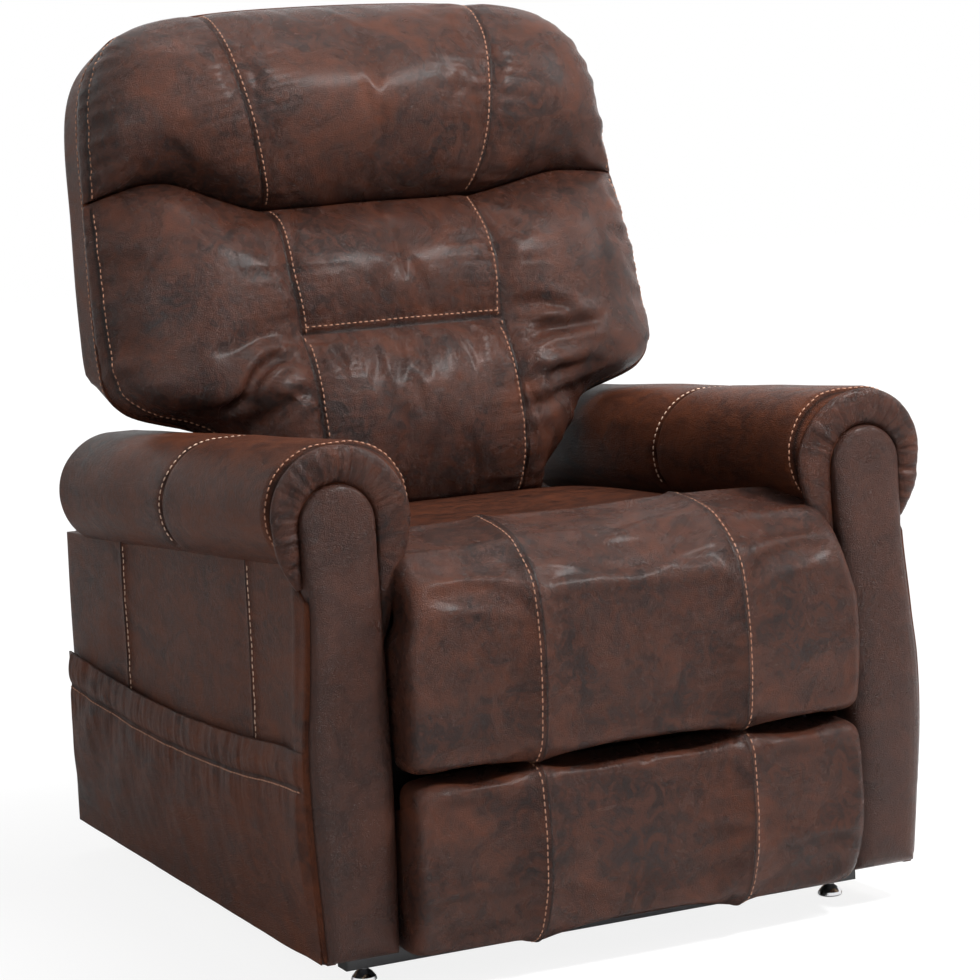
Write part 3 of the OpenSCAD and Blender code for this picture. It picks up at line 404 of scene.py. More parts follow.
def apply_modifiers(piece):
    dg = bpy.context.evaluated_depsgraph_get()
    posed = piece.evaluated_get(dg)
    mesh = bpy.data.meshes.new_from_object(posed, preserve_all_data_layers=True, depsgraph=dg)
    old = piece.data
    piece.modifiers.clear()
    piece.data = mesh
    bpy.data.meshes.remove(old)
    mesh.shade_smooth()


print("each cushion point carries its shares:", ", ".join("uvw"))

# %% [markdown]
# ## Filling the cushions
# The leather is held at its seams and at its back and blown up a little by cloth pressure, so it swells
# between the seams and draws into folds where they hold it. Displacement could round it, but only cloth
# makes the folds. How far a point may move is capped.

# %% Swell a cushion
CLOTH = dict(quality=6, mass=0.4, tension_stiffness=22, compression_stiffness=22, shear_stiffness=10,
             bending_stiffness=0.9, use_pressure=True, pin_stiffness=1.0)
CLOTH_FRAMES = 18


def swell(piece, held, pressure, cap, slack):
    """held is a value per point, 1 where the leather is fixed."""
    rest = coordinates(piece)
    group = piece.vertex_groups.new(name="held")
    for i, value in enumerate(held):
        if value > 0.01:
            group.add([i], float(value), "REPLACE")
    cloth = piece.modifiers.new("cloth", "CLOTH")
    settings = cloth.settings
    for key, value in CLOTH.items():
        setattr(settings, key, value)
    settings.uniform_pressure_force = pressure
    settings.shrink_min = slack
    settings.vertex_group_mass = "held"
    settings.effector_weights.gravity = 0
    cloth.collision_settings.use_collision = False
    cloth.point_cache.frame_start = 1
    cloth.point_cache.frame_end = CLOTH_FRAMES
    for f in range(1, CLOTH_FRAMES + 1):
        scene.frame_set(f)
    apply_modifiers(piece)
    moved = coordinates(piece) - rest
    length = np.linalg.norm(moved, axis=1, keepdims=True)
    moved *= np.minimum(1.0, cap / np.maximum(length, 1e-9))
    set_coordinates(piece, rest + moved)
    scene.frame_set(1)
    furthest = float(np.linalg.norm(moved, axis=1).max())
    print(piece.name, "swelled by up to", round(furthest * 1000, 1), "mm")


def refine(piece, levels):
    subdivide = piece.modifiers.new("refine", "SUBSURF")
    subdivide.levels = levels
    subdivide.render_levels = levels
    subdivide.boundary_smooth = "PRESERVE_CORNERS"
    apply_modifiers(piece)


print("cloth runs for", CLOTH_FRAMES, "frames on each filled cushion")

# %% [markdown]
# ## Seams
# A sewn seam is a narrow groove in a wider dip, with small puckers running away from it. A bump map could
# draw it, but it would vanish at the outline. So the leather's points near the seam's route are pushed
# in, and the same route then carries the thread.

# %% Routes on the leather
def tree_of(piece):
    return BVHTree.FromPolygons([v.co[:] for v in piece.data.vertices],
                                [p.vertices[:] for p in piece.data.polygons])


def run_along(line):
    """Length from the start of a route to each of its points."""
    return np.concatenate([[0], np.cumsum(np.linalg.norm(np.diff(line, axis=0), axis=1))])


def at_length(where, lengths, rows):
    return np.stack([np.interp(where, lengths, rows[:, k]) for k in range(3)], -1)


def on_surface(tree, points, reach=0.06, spacing=0.004):
    """The nearest points of the leather to a rough route, evenly spaced, with their normals."""
    found = []
    for p in points:
        hit = tree.find_nearest(Vector(p), reach)
        if hit[0] is not None:
            found.append((np.array(hit[0]), np.array(hit[1])))
    if len(found) < 2:
        return np.zeros((0, 3)), np.zeros((0, 3))
    line = np.array([f[0] for f in found])
    normals = np.array([f[1] for f in found])
    for _ in range(2):
        for rows in (line, normals):
            rows[1:-1] = (rows[:-2] + 2 * rows[1:-1] + rows[2:]) / 4
    gaps = np.linalg.norm(np.diff(line, axis=0), axis=1)
    keep = np.concatenate([[True], gaps > 1e-6])
    line, normals = line[keep], normals[keep]
    lengths = run_along(line)
    at = np.linspace(0, lengths[-1], max(3, int(lengths[-1] / spacing)))
    line = at_length(at, lengths, line)
    normals = at_length(at, lengths, normals)
    normals /= np.linalg.norm(normals, axis=1, keepdims=True)
    return line, normals


def nearest_on(line, points):
    """Distance from each point to a route, and how far along the route it is."""
    best = np.full(len(points), 1e9)
    along = np.zeros(len(points))
    run = 0.0
    for a, b in zip(line[:-1], line[1:]):
        ab = b - a
        size = np.linalg.norm(ab)
        t = np.clip(((points - a) @ ab) / max(size * size, 1e-12), 0, 1)
        d = np.linalg.norm(points - (a + t[:, None] * ab), axis=1)
        closer = d < best
        best[closer] = d[closer]
        along[closer] = run + t[closer] * size
        run += size
    return best, along


def near_route(piece, line, margin):
    """The piece's points, which of them lie round a route, how far off it and how far along it."""
    points = coordinates(piece)
    near = np.all((points > line.min(0) - margin) & (points < line.max(0) + margin), axis=1)
    return points, near, *nearest_on(line, points[near])


def press_in(piece, points, near, depth):
    points[near] -= vertex_normals(piece)[near] * depth[:, None]
    set_coordinates(piece, points)


# %% Grooves and puckers
def sew(piece, route, groove=0.0019, width=0.0019, dip=0.0026, reach=0.014, pucker=0.0012, spread=0.022,
        seed=0.0):
    """Presses a seam into a piece along a rough route. Returns the route on the leather, with normals."""
    line, normals = on_surface(tree_of(piece), route)
    points, near, d, along = near_route(piece, line, 0.07)
    press = groove * np.exp(-(d / width) ** 2) + dip * np.exp(-(d / reach) ** 2)
    ripple = np.array([flutter(a * 62, seed, 0.5) + 0.6 * flutter(a * 130, seed, 3.5) for a in along])
    side = (d / spread) * np.exp(1 - d / spread)
    press += pucker * ripple * side
    press_in(piece, points, near, press)
    # The seam value is painted shade: it darkens the leather's colour in and beside the groove, where shade
    # falls.
    if "seam" not in piece.data.attributes:
        piece.data.attributes.new("seam", "FLOAT", "POINT")
    dark = values_of(piece, "seam")
    dark[near] = np.maximum(dark[near], 0.88 * np.exp(-(d / (width * 0.62)) ** 2))
    piece.data.attributes["seam"].data.foreach_set("value", dark)
    print(piece.name, "seam of", round(float(run_along(line)[-1]), 3), "m")
    return line, normals


# %% [markdown]
# ## Topstitching
# Beside each seam a row of thick thread dips in and out of the leather. A texture of dashes would lie
# flat, so every visible stitch is a small six-sided bead with pointed ends, laid on the leather by the
# nearest-point search. All the stitches of a cushion are one object that moves with it.

# %% The thread
THREAD = simple_finish("thread", (0.34, 0.165, 0.100), 0.6, speckle=0.3, size=300.0)
THREAD_PALE = simple_finish("thread_pale", (0.50, 0.34, 0.25), 0.6, size=300.0)
STITCH_PITCH = 0.0082


def stitch_row(bm, piece_tree, line, normals, offset, pitch=STITCH_PITCH, length=0.0056, thick=0.00088):
    """Adds one row of stitches a set distance beside a seam."""
    if len(line) < 2:
        return 0
    step = np.gradient(line, axis=0)
    step /= np.maximum(np.linalg.norm(step, axis=1, keepdims=True), 1e-9)
    side = np.cross(normals, step)
    beside = line + side * offset
    lengths = run_along(beside)
    made = 0
    at = pitch * 0.7
    while at + length < lengths[-1]:
        centre = Vector(at_length(at, lengths, beside))
        run = Vector(at_length(at, lengths, step)).normalized()
        hit = piece_tree.find_nearest(centre, 0.02)
        at += pitch
        if hit[0] is None:
            continue
        up = hit[1].normalized()
        across = up.cross(run).normalized()
        run = across.cross(up)
        turn = Matrix((run, across, up)).transposed().to_4x4()
        place = Matrix.Translation(hit[0] + up * thick * 0.18) @ turn
        bead = bmesh.ops.create_cone(bm, cap_ends=True, segments=6, radius1=thick, radius2=thick,
                                     depth=length * 0.6, matrix=place @ Matrix.Rotation(math.pi / 2, 4, "Y"))
        ends = [f for f in {f for v in bead["verts"] for f in v.link_faces} if len(f.verts) == 6]
        for f in ends:
            grown = bmesh.ops.extrude_discrete_faces(bm, faces=[f])["faces"][0]
            normal = grown.normal.copy()
            bmesh.ops.translate(bm, verts=grown.verts, vec=normal * length * 0.2 - up * thick * 0.6)
            middle = grown.calc_center_median()
            bmesh.ops.scale(bm, verts=grown.verts, vec=(0.35,) * 3, space=Matrix.Translation(-middle))
        made += 1
    return made


def stitches(name, piece, rows, material=None):
    """rows: (line, normals, offset). One object with all of a piece's thread."""
    bm = bmesh.new()
    leather_tree = tree_of(piece)
    total = sum(stitch_row(bm, leather_tree, line, normals, offset) for line, normals, offset in rows)
    print(name, total, "stitches")
    thread = new_piece(name, bm, material or THREAD)
    return thread


print("one stitch every", STITCH_PITCH * 1000, "mm")

# %% [markdown]
# ## Where the chair's parts are
# The chair's own outlines, in metres: the sloping arm rolls, the back's lean and width, and the crowns of
# its pillows. Each is a short table of named points, so one number can be changed without remodelling.

# %% Outlines
LEAN = math.radians(17)
BACK_Y, BACK_Z = 0.205, 0.611
ROLL_X, ROLL_R, ROLL_FLAT = 0.337, 0.0735, 0.0145
COLUMN_X, COLUMN_R, COLUMN_TOP = 0.345, 0.045, 0.587
ARM_BOTTOM = 0.046


def roll_z(y):
    return 0.5615 - (y + 0.412) * math.tan(math.radians(4.6))


def on_back(x, s, t):
    """A point of the back: across, up along its lean, and behind its side seam."""
    return Vector((x, BACK_Y + s * math.sin(LEAN) + t * math.cos(LEAN),
                   BACK_Z + s * math.cos(LEAN) - t * math.sin(LEAN)))


HALF_WIDTH = [[-0.150, 0.190], [-0.125, 0.202], [-0.075, 0.246], [-0.050, 0.259], [-0.030, 0.285],
              [-0.020, 0.318], [-0.010, 0.350], [0.0, 0.370], [0.020, 0.388], [0.050, 0.393],
              [0.150, 0.390], [0.270, 0.380], [0.390, 0.369], [0.450, 0.349], [0.490, 0.311],
              [0.505, 0.277], [0.512, 0.247], [0.518, 0.207]]
BACK_SEAM = [[-0.150, 0.142], [-0.060, 0.143], [0.040, 0.142], [0.080, 0.143], [0.120, 0.146],
             [0.150, 0.148], [0.195, 0.146], [0.228, 0.144], [0.252, 0.150], [0.280, 0.159], [0.315, 0.168],
             [0.352, 0.174], [0.394, 0.181], [0.435, 0.187], [0.477, 0.191], [0.520, 0.193]]
LUMBAR_LOW, LUMBAR_HIGH, HEAD_LOW, HEAD_HIGH = -0.162, 0.2485, 0.2495, 0.514
LUMBAR_SWELL = [[LUMBAR_LOW, 0.050], [-0.150, 0.068], [-0.122, 0.090], [-0.090, 0.100], [-0.067, 0.104],
                [-0.021, 0.105], [0.013, 0.101], [0.045, 0.093], [0.064, 0.088], [0.080, 0.0870],
                [0.116, 0.090], [0.151, 0.0875], [0.195, 0.079], [0.228, 0.058], [LUMBAR_HIGH, 0.030]]
HEAD_SWELL = [[HEAD_LOW, 0.030], [0.258, 0.050], [0.280, 0.0735], [0.315, 0.0945], [0.352, 0.1045],
              [0.394, 0.1055], [0.435, 0.100], [0.465, 0.085], [0.488, 0.063], [0.504, 0.038],
              [HEAD_HIGH, 0.012]]
SIDE_FALL = [[0.0, 1.0], [0.55, 0.985], [0.75, 0.92], [0.87, 0.76], [0.94, 0.54], [0.98, 0.28], [1.0, 0.05]]
SEAM_SHARE = 0.42


def over_seam(u, seam_share, seam, half):
    """Share across a cushion to metres, with one grid line kept on the seam, and as a share of its width."""
    a = abs(u)
    if a <= seam_share:
        x = seam * a / seam_share
    else:
        x = seam + (half - seam) * (a - seam_share) / (1 - seam_share)
    return math.copysign(x, u), x / half


def across_back(u, s):
    return over_seam(u, SEAM_SHARE, smooth_table(BACK_SEAM, s), smooth_table(HALF_WIDTH, s))


def back_crown(x, s):
    """The top edge of the back rises a little in its middle."""
    return 0.008 * max(0.0, 1 - (x / 0.26) ** 2) * clamp((s - 0.43) / 0.06)


CREASE_RIGHT = [[0.0, 0.0], [0.40, 0.0], [0.56, 0.020], [0.70, 0.041], [0.80, 0.043], [0.90, 0.035],
                [1.0, 0.026]]
CREASE_LEFT = [[0.0, 0.0], [0.42, 0.001], [0.58, 0.013], [0.72, 0.024], [0.84, 0.024], [1.0, 0.020]]


def crease_rise(share, x):
    """The crease between the pillows arches up behind each shoulder."""
    return smooth_table(CREASE_RIGHT if x < 0 else CREASE_LEFT, share)


print("back:", 2 * max(half for s, half in HALF_WIDTH), "m wide")


# %% The rule for a back pillow
PILLOW_SHARE = 0.93  # of the full crown: the cloth pressure adds the rest
BACKING = 0.003


def back_pad(swell_rows, low, high, crease_at):
    """The rule for a back pillow from its low to its high edge, one of which lies in the crease."""
    def place(u, v, w):
        s = low + (high - low) * v
        x, share = across_back(u, s)
        depth = smooth_table(swell_rows, s) * smooth_table(SIDE_FALL, share) * PILLOW_SHARE
        s += crease_rise(share, x) * (1 - abs(v - crease_at)) ** 2 + back_crown(x, s)
        return on_back(x, s, BACKING - (BACKING + depth) * w)
    return place


print("the back's top stands at", round(on_back(0, HEAD_HIGH, 0).z, 3), "m")

# %% [markdown]
# ## Pillow back
# Two pillows meet in a deep crease behind the sitter's neck. Each is cut in three panels, and the lower
# one's middle panel is also divided by a lapped seam across the small of the back. They could be one
# cushion with a groove, but two closed pieces meet in a real crease that shades itself.

# %% Headrest and lumbar pillows
BACK_FACE, FRONT_FACE = 0.4, 0.9


def held_values(piece, seams, edge=0.02):
    u, v, w = (values_of(piece, n) for n in "uvw")
    held = np.zeros(len(u))
    held[w < BACK_FACE] = 1
    held[(np.abs(u) > 1 - edge) | (v < 0.001) | (v > 0.999)] = 1
    for test in seams:
        held[test(u, v) & (w > FRONT_FACE)] = 1
    return held


def seam_columns(share, tolerance=0.004):
    return lambda u, v: np.abs(np.abs(u) - share) < tolerance


head_place = back_pad(HEAD_SWELL, HEAD_LOW, HEAD_HIGH, 0.0)
headrest = grid_block("headrest_pillow", (100, 30, 3), head_place, LEATHER)
lumbar_place = back_pad(LUMBAR_SWELL, LUMBAR_LOW, LUMBAR_HIGH, 1.0)
lumbar = grid_block("lumbar_pillow", (100, 42, 3), lumbar_place, LEATHER)
LAP_S = 0.0705
LAP_V = (LAP_S - LUMBAR_LOW) / (LUMBAR_HIGH - LUMBAR_LOW)


def lap_rows(u, v):
    return (np.abs(v - LAP_V) < 0.013) & (np.abs(u) < SEAM_SHARE)


back_seams = seam_columns(SEAM_SHARE)
swell(headrest, held_values(headrest, [back_seams]), pressure=4.0, cap=0.014, slack=-0.012)
swell(lumbar, held_values(lumbar, [back_seams, lap_rows]), pressure=4.0, cap=0.018, slack=-0.022)
for piece in (headrest, lumbar):
    refine(piece, 2)
print("back pillows:", len(headrest.data.vertices), len(lumbar.data.vertices), "points")

# %% [markdown]
# ## Seams of the back
# First the side edges are gathered, then the seams are sewn from the middle outward, then come the lap and
# the folds that a sitter leaves beside it. The folds could be painted in sculpt mode. Laid out as short
# lines from one named point to another, they stay easy to move.

# %% Folds, laps and gathers
def route_on(place, uv_list):
    return [place(u, v, 1.0) for u, v in uv_list]


def steps(a, b, count=60):
    return [a + (b - a) * k / (count - 1) for k in range(count)]


def lap(piece, line, normals, drop=0.004, reach=0.018):
    """Below a lapped seam the leather lies lower than the folded edge above it."""
    points, near, d, along = near_route(piece, line, 0.05)
    lengths = run_along(line)
    foot = at_length(along, lengths, line)
    below = (points[near] - foot)[:, 2] < 0
    inside = (along > 0.0005) & (along < lengths[-1] - 0.0005)
    press_in(piece, points, near, drop * np.exp(-(d / reach) ** 2) * below * inside)


def fold(piece, start, end, depth=0.0035, width=0.009):
    """A soft crease from one point to another, with a ridge beside it, fading at its ends."""
    line = np.array([Vector(start).lerp(Vector(end), k / 30)[:] for k in range(31)])
    bow = np.array([0.0, 0.0, 0.012])
    line = line + np.sin(np.linspace(0, math.pi, 31))[:, None] * bow
    line, normals = on_surface(tree_of(piece), line)
    if not len(line):
        return
    points, near, d, along = near_route(piece, line, 0.04)
    total = run_along(line)[-1]
    fade = np.sin(np.clip(along / total, 0, 1) * math.pi) ** 0.7
    profile = np.exp(-(d / width) ** 2) - 0.45 * np.exp(-((d - 1.9 * width) / width) ** 2)
    press_in(piece, points, near, depth * profile * fade)


def gather_edge(piece, waves, depth=0.0026, reach=0.075, seed=0.0):
    """Short puckers that run in from the side seams, where the leather is sewn to the back's border."""
    u, v, w = (values_of(piece, n) for n in "uvw")
    inset = 1 - np.abs(u)
    edge = np.exp(-inset / reach) * (1 - np.exp(-(inset / 0.02))) * (w > BACK_FACE)
    ripple = np.array([flutter(b * waves, seed + math.copysign(3.0, a), abs(a) * 2.0) for a, b in zip(u, v)])
    push = (depth * 2.2 * edge * ripple)[:, None]
    set_coordinates(piece, coordinates(piece) + vertex_normals(piece) * push)


# %% Sew the back
SEAM_TO_THREAD = 0.0052
FOLDS = [((-0.15, 0.055), (-0.27, -0.03), 0.006), ((-0.16, 0.03), (-0.30, -0.05), 0.005),
         ((-0.15, -0.01), (-0.24, -0.07), 0.004), ((0.15, 0.075), (0.25, 0.06), 0.004),
         ((0.16, 0.02), (0.28, 0.045), 0.006), ((0.15, -0.03), (0.27, 0.005), 0.005),
         ((0.155, -0.06), (0.24, -0.045), 0.004), ((-0.13, 0.055), (-0.10, 0.01), 0.003)]

gather_edge(headrest, 17.0, seed=1.5)
gather_edge(lumbar, 24.0, depth=0.0020, seed=7.5)
head_rows, lumbar_rows = [], []
for sign in (-1, 1):
    for piece, place, rows, seed in ((headrest, head_place, head_rows, sign),
                                     (lumbar, lumbar_place, lumbar_rows, sign + 5)):
        seam_route = route_on(place, [(sign * SEAM_SHARE, v) for v in steps(0.0, 1.0)])
        rows.append((*sew(piece, seam_route, seed=seed), sign * SEAM_TO_THREAD))
lap_route = route_on(lumbar_place, [(u, LAP_V) for u in steps(-SEAM_SHARE, SEAM_SHARE)])
lap_line = sew(lumbar, lap_route, groove=0.0022, dip=0.002, seed=9.0)
lap(lumbar, *lap_line)
lumbar_rows.append((*lap_line, 0.0062))
for start, end, depth in FOLDS:
    fold(lumbar, on_back(*start, -0.08), on_back(*end, -0.07), depth)
for sign in (-1, 1):
    for piece, place, rows, span in ((headrest, head_place, head_rows, (0.01, 0.93)),
                                     (lumbar, lumbar_place, lumbar_rows, (0.20, 0.985))):
        border = route_on(place, [(sign * 0.986, v) for v in steps(*span)])
        rows.append((*sew(piece, border, groove=0.0012, width=0.0020, dip=0.0012, reach=0.008,
                          pucker=0.0010, spread=0.016, seed=sign + 90), sign * 0.0044))
headrest_thread = stitches("headrest_thread", headrest, head_rows)
lumbar_thread = stitches("lumbar_thread", lumbar, lumbar_rows)
for piece, node_name in ((headrest, "headrest_cushion"), (lumbar, "lumbar_cushion")):
    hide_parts(node_name)
    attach(piece, "back")
for piece in (headrest_thread, lumbar_thread):
    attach(piece, "back")

# %% [markdown]
# ## Seat
# The seat's leather runs from a cross seam forward over the front roll and down to the crease above the
# lower pillow. On the chair the front part bends as the footrest swings; here it is a pad of its own that
# stays in place, and the seat is a plain low block. It could be cloth too, but a seat this tight hardly
# swells.

# %% Seat cushion
SEAT_TOP = [[-0.306, 0.470], [-0.300, 0.498], [-0.294, 0.5065], [-0.270, 0.5060], [-0.235, 0.4985],
            [-0.200, 0.4940], [-0.150, 0.4905], [-0.080, 0.4870], [0.040, 0.4800], [0.130, 0.4700],
            [0.158, 0.4580], [0.170, 0.4400]]
SEAT_FALL = [[0.0, 0.0], [0.6, 0.001], [0.80, 0.005], [0.92, 0.014], [0.975, 0.028], [1.0, 0.046]]
SEAT_FRONT, SEAT_DEPTH, SEAT_HALF, SEAT_BOTTOM = -0.306, 0.476, 0.283, 0.377
SEAT_SHARE = 0.5


def seat_place(u, v, w):
    y = SEAT_FRONT + SEAT_DEPTH * v
    x = SEAT_HALF * u * (1 - 0.012 * math.sin(math.pi * v))
    top = smooth_table(SEAT_TOP, y) - smooth_table(SEAT_FALL, abs(u))
    return Vector((x, y, SEAT_BOTTOM + (top - SEAT_BOTTOM) * w))


# the seat top takes the darker copy of the leather, partly painted shade
seat = grid_block("seat_cushion_cover", (64, 48, 5), seat_place, LEATHER_TOP_SHADED)
refine(seat, 1)
print("seat:", len(seat.data.vertices), "points")

# %% [markdown]
# ## Front pad
# The front pad follows one route seen from the side: over the roll, down the front and in under it to the
# crease. A curve with a bevel would give it one thickness, but a grid placed along the route can be
# thinner at the seat, thicker in front and soft at its free side edges.

# %% Front pad, over the roll and down to the crease
FRONT_ROUTE = [(-0.296, 0.5000), (-0.3010, 0.5110), (-0.3120, 0.5155), (-0.3350, 0.5155), (-0.3630, 0.5130),
               (-0.3900, 0.5075), (-0.4130, 0.4990), (-0.4330, 0.4870), (-0.4480, 0.4740),
               (-0.4590, 0.4600), (-0.4665, 0.4460), (-0.4715, 0.4300), (-0.4745, 0.4120),
               (-0.4775, 0.3780), (-0.4785, 0.3500), (-0.4775, 0.3230), (-0.4745, 0.2960),
               (-0.4700, 0.2740), (-0.4640, 0.2620), (-0.4530, 0.2545), (-0.4350, 0.2515),
               (-0.4150, 0.2505)]
FRONT_DEPTH = [[0.0, 0.014], [0.12, 0.020], [0.3, 0.045], [0.45, 0.060], [0.6, 0.078], [0.75, 0.088],
               [0.9, 0.070], [1.0, 0.045]]
FRONT_FALL = [[0.0, 0.0], [0.6, 0.0002], [0.85, 0.0014], [0.94, 0.0036], [0.98, 0.0070], [1.0, 0.014]]
FRONT_SEAM, LOWER_SEAM = (0.126, 0.133), (0.133, 0.133)


def routed_pad(route, depths, falls, half_rows, seams):
    """The rule for a pad along a route, with its depth, its fall at the sides and its half width."""
    def place(u, v, w):
        y, z = path_at(route, v)
        ny, nz = path_normal(route, v)
        seam = seams[0] + (seams[1] - seams[0]) * v
        x, share = over_seam(u, SEAT_SHARE, seam, smooth_table(half_rows, v))
        inward = smooth_table(falls, share) + smooth_table(depths, v) * (1 - w)
        return Vector((x, y - ny * inward, z - nz * inward))
    return place


FRONT_HALF = [[0.0, 0.281], [0.3, 0.282], [0.45, 0.284], [0.53, 0.290], [0.58, 0.2955], [1.0, 0.2955]]
front_place = routed_pad(FRONT_ROUTE, FRONT_DEPTH, FRONT_FALL, FRONT_HALF, FRONT_SEAM)
front_pad = grid_block("front_pad_cover", (72, 64, 3), front_place, LEATHER)
print("front pad runs", round(running_length(FRONT_ROUTE)[-1], 3), "m over the roll")

# %% [markdown]
# ## Lower pillow
# Below the crease hangs the footrest's own pillow, a rounder pad made by the same rule. Both pads are
# filled by cloth, then two seams are sewn down each, in line with one another.

# %% Lower pillow
LOWER_ROUTE = [(-0.4150, 0.2490), (-0.4400, 0.2485), (-0.4600, 0.2450), (-0.4700, 0.2350),
               (-0.4745, 0.2180), (-0.4775, 0.1850), (-0.4785, 0.1540), (-0.4765, 0.1220),
               (-0.4715, 0.0960), (-0.4640, 0.0740), (-0.4530, 0.0550), (-0.4380, 0.0420),
               (-0.4180, 0.0365), (-0.3850, 0.0355)]
LOWER_DEPTH = [[0.0, 0.040], [0.12, 0.070], [0.5, 0.105], [0.86, 0.060], [1.0, 0.026]]
LOWER_HALF = [[0.0, 0.292], [0.5, 0.296], [1.0, 0.292]]
lower_place = routed_pad(LOWER_ROUTE, LOWER_DEPTH, FRONT_FALL, LOWER_HALF, LOWER_SEAM)
lower_pad = grid_block("lower_pillow_cover", (72, 40, 3), lower_place, LEATHER)
pad_seams = [seam_columns(SEAT_SHARE)]
swell(front_pad, held_values(front_pad, pad_seams), pressure=3.0, cap=0.006, slack=-0.004)
swell(lower_pad, held_values(lower_pad, pad_seams), pressure=3.0, cap=0.007, slack=-0.008)
for piece in (front_pad, lower_pad):
    refine(piece, 2)

front_rows, lower_rows = [], []
for sign in (-1, 1):
    route = route_on(front_place, [(sign * SEAT_SHARE, v) for v in steps(0.01, 0.99, 90)])
    front_rows.append((*sew(front_pad, route, pucker=0.0007, seed=sign + 20), -sign * SEAM_TO_THREAD))
    route = route_on(lower_place, [(sign * SEAT_SHARE, v) for v in steps(0.02, 0.98, 60)])
    lower_rows.append((*sew(lower_pad, route, pucker=0.0009, seed=sign + 30), -sign * SEAM_TO_THREAD))
front_thread = stitches("front_pad_thread", front_pad, front_rows)
lower_thread = stitches("lower_pillow_thread", lower_pad, lower_rows)
for piece in (front_pad, front_thread):
    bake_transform(piece)
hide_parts("footrest_upper_pillow")
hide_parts("footrest_lower_pillow")
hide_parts("seat_cushion")
for piece in (lower_pad, lower_thread):
    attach(piece, "footrest")
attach(seat, "chair")

# %% [markdown]
# ## Rolled arms
# An arm is a flat panelled body with a fat roll laid along its top. A cylinder could be bent into the
# roll, but here it is lofted: a circle is drawn once, then its edge is extruded from station to station,
# so every ring can have a width and a place of its own.

# %% Loft
def loft(name, stations, ring, segments, material, zipped=False):
    """ring(station, share) gives a point for each share round the ring. A zipped loft's last ring is drawn
    in to a line, whose two sides are merged."""
    bm = bmesh.new()
    circle = bmesh.ops.create_circle(bm, cap_ends=False, radius=1.0, segments=segments)["verts"]
    circle = sorted(circle, key=lambda v: math.atan2(v.co.y, v.co.x) % (2 * math.pi))
    for k, vert in enumerate(circle):
        vert.co = ring(stations[0], k / segments)
    edges = list(bm.edges)
    ends = [list(circle)]
    current = circle
    for station in stations[1:]:
        grown = bmesh.ops.extrude_edge_only(bm, edges=edges)["geom"]
        new = {e for e in grown if isinstance(e, bmesh.types.BMVert)}
        current = [next(e.other_vert(vert) for e in vert.link_edges if e.other_vert(vert) in new)
                   for vert in current]
        for k, vert in enumerate(current):
            vert.co = ring(station, k / segments)
        edges = [e for e in grown if isinstance(e, bmesh.types.BMEdge) and set(e.verts) <= new]
    if zipped:
        bmesh.ops.remove_doubles(bm, verts=current, dist=1e-5)
    else:
        ends.append(list(current))
    for rim in ends:
        face = bm.faces.new(rim)
        bmesh.ops.poke(bm, faces=[face])
    bmesh.ops.recalc_face_normals(bm, faces=bm.faces)
    return new_piece(name, bm, material)


def side_name(sign):
    return "left" if sign > 0 else "right"


print("a left piece's name begins with", side_name(1))


# %% The roll
ROLL_FRONT, ROLL_REAR, ROLL_RINGS = -0.4017, 0.3520, 130


def arm_roll(sign):
    draws = [(0.0, 0.030), (0.0012, 0.017), (0.004, 0.008), (0.009, 0.0030), (0.016, 0.0008), (0.024, 0.0)]
    stations = [(ROLL_FRONT + y, d) for y, d in draws]
    first, last = ROLL_FRONT + 0.024, ROLL_REAR - 0.030
    stations += [(first + (last - first) * k / ROLL_RINGS, 0.0) for k in range(1, ROLL_RINGS + 1)]
    draws = [(0.024, 0.0015), (0.017, 0.005), (0.010, 0.011), (0.004, 0.020), (0.001, 0.030), (0.0, 0.042)]
    stations += [(ROLL_REAR - y, d) for y, d in draws]

    def ring(station, share):
        y, draw = station
        a = 2 * math.pi * share
        r = ROLL_R - draw
        flat = math.copysign(ROLL_FLAT * (1 - draw / ROLL_R), math.cos(a))
        x = ROLL_X + flat + r * math.cos(a)
        z = roll_z(y) + r * math.sin(a)
        sag = 0.0012 * flutter(x * 16, y * 9, z * 16 + sign * 7)
        return Vector((sign * (x + sag), y, z + sag))

    return loft(side_name(sign) + "_roll_cover", stations, ring, 144, LEATHER_SIDE)


def ring_route(y_of, sign, start=-0.12, end=0.62, count=120):
    """A route round an arm roll, from its outer lower edge over the top to the inside."""
    points = []
    for k in range(count):
        a = 2 * math.pi * (start + (end - start) * k / (count - 1))
        y = y_of(a)
        x = ROLL_X + math.copysign(ROLL_FLAT, math.cos(a)) + ROLL_R * math.cos(a)
        points.append((sign * x, y, roll_z(y) + ROLL_R * math.sin(a)))
    return points


print("roll:", round(ROLL_REAR - ROLL_FRONT, 3), "m long")


# %% The gathered band
BAND_Y, BAND_RINGS = -0.4015, 190


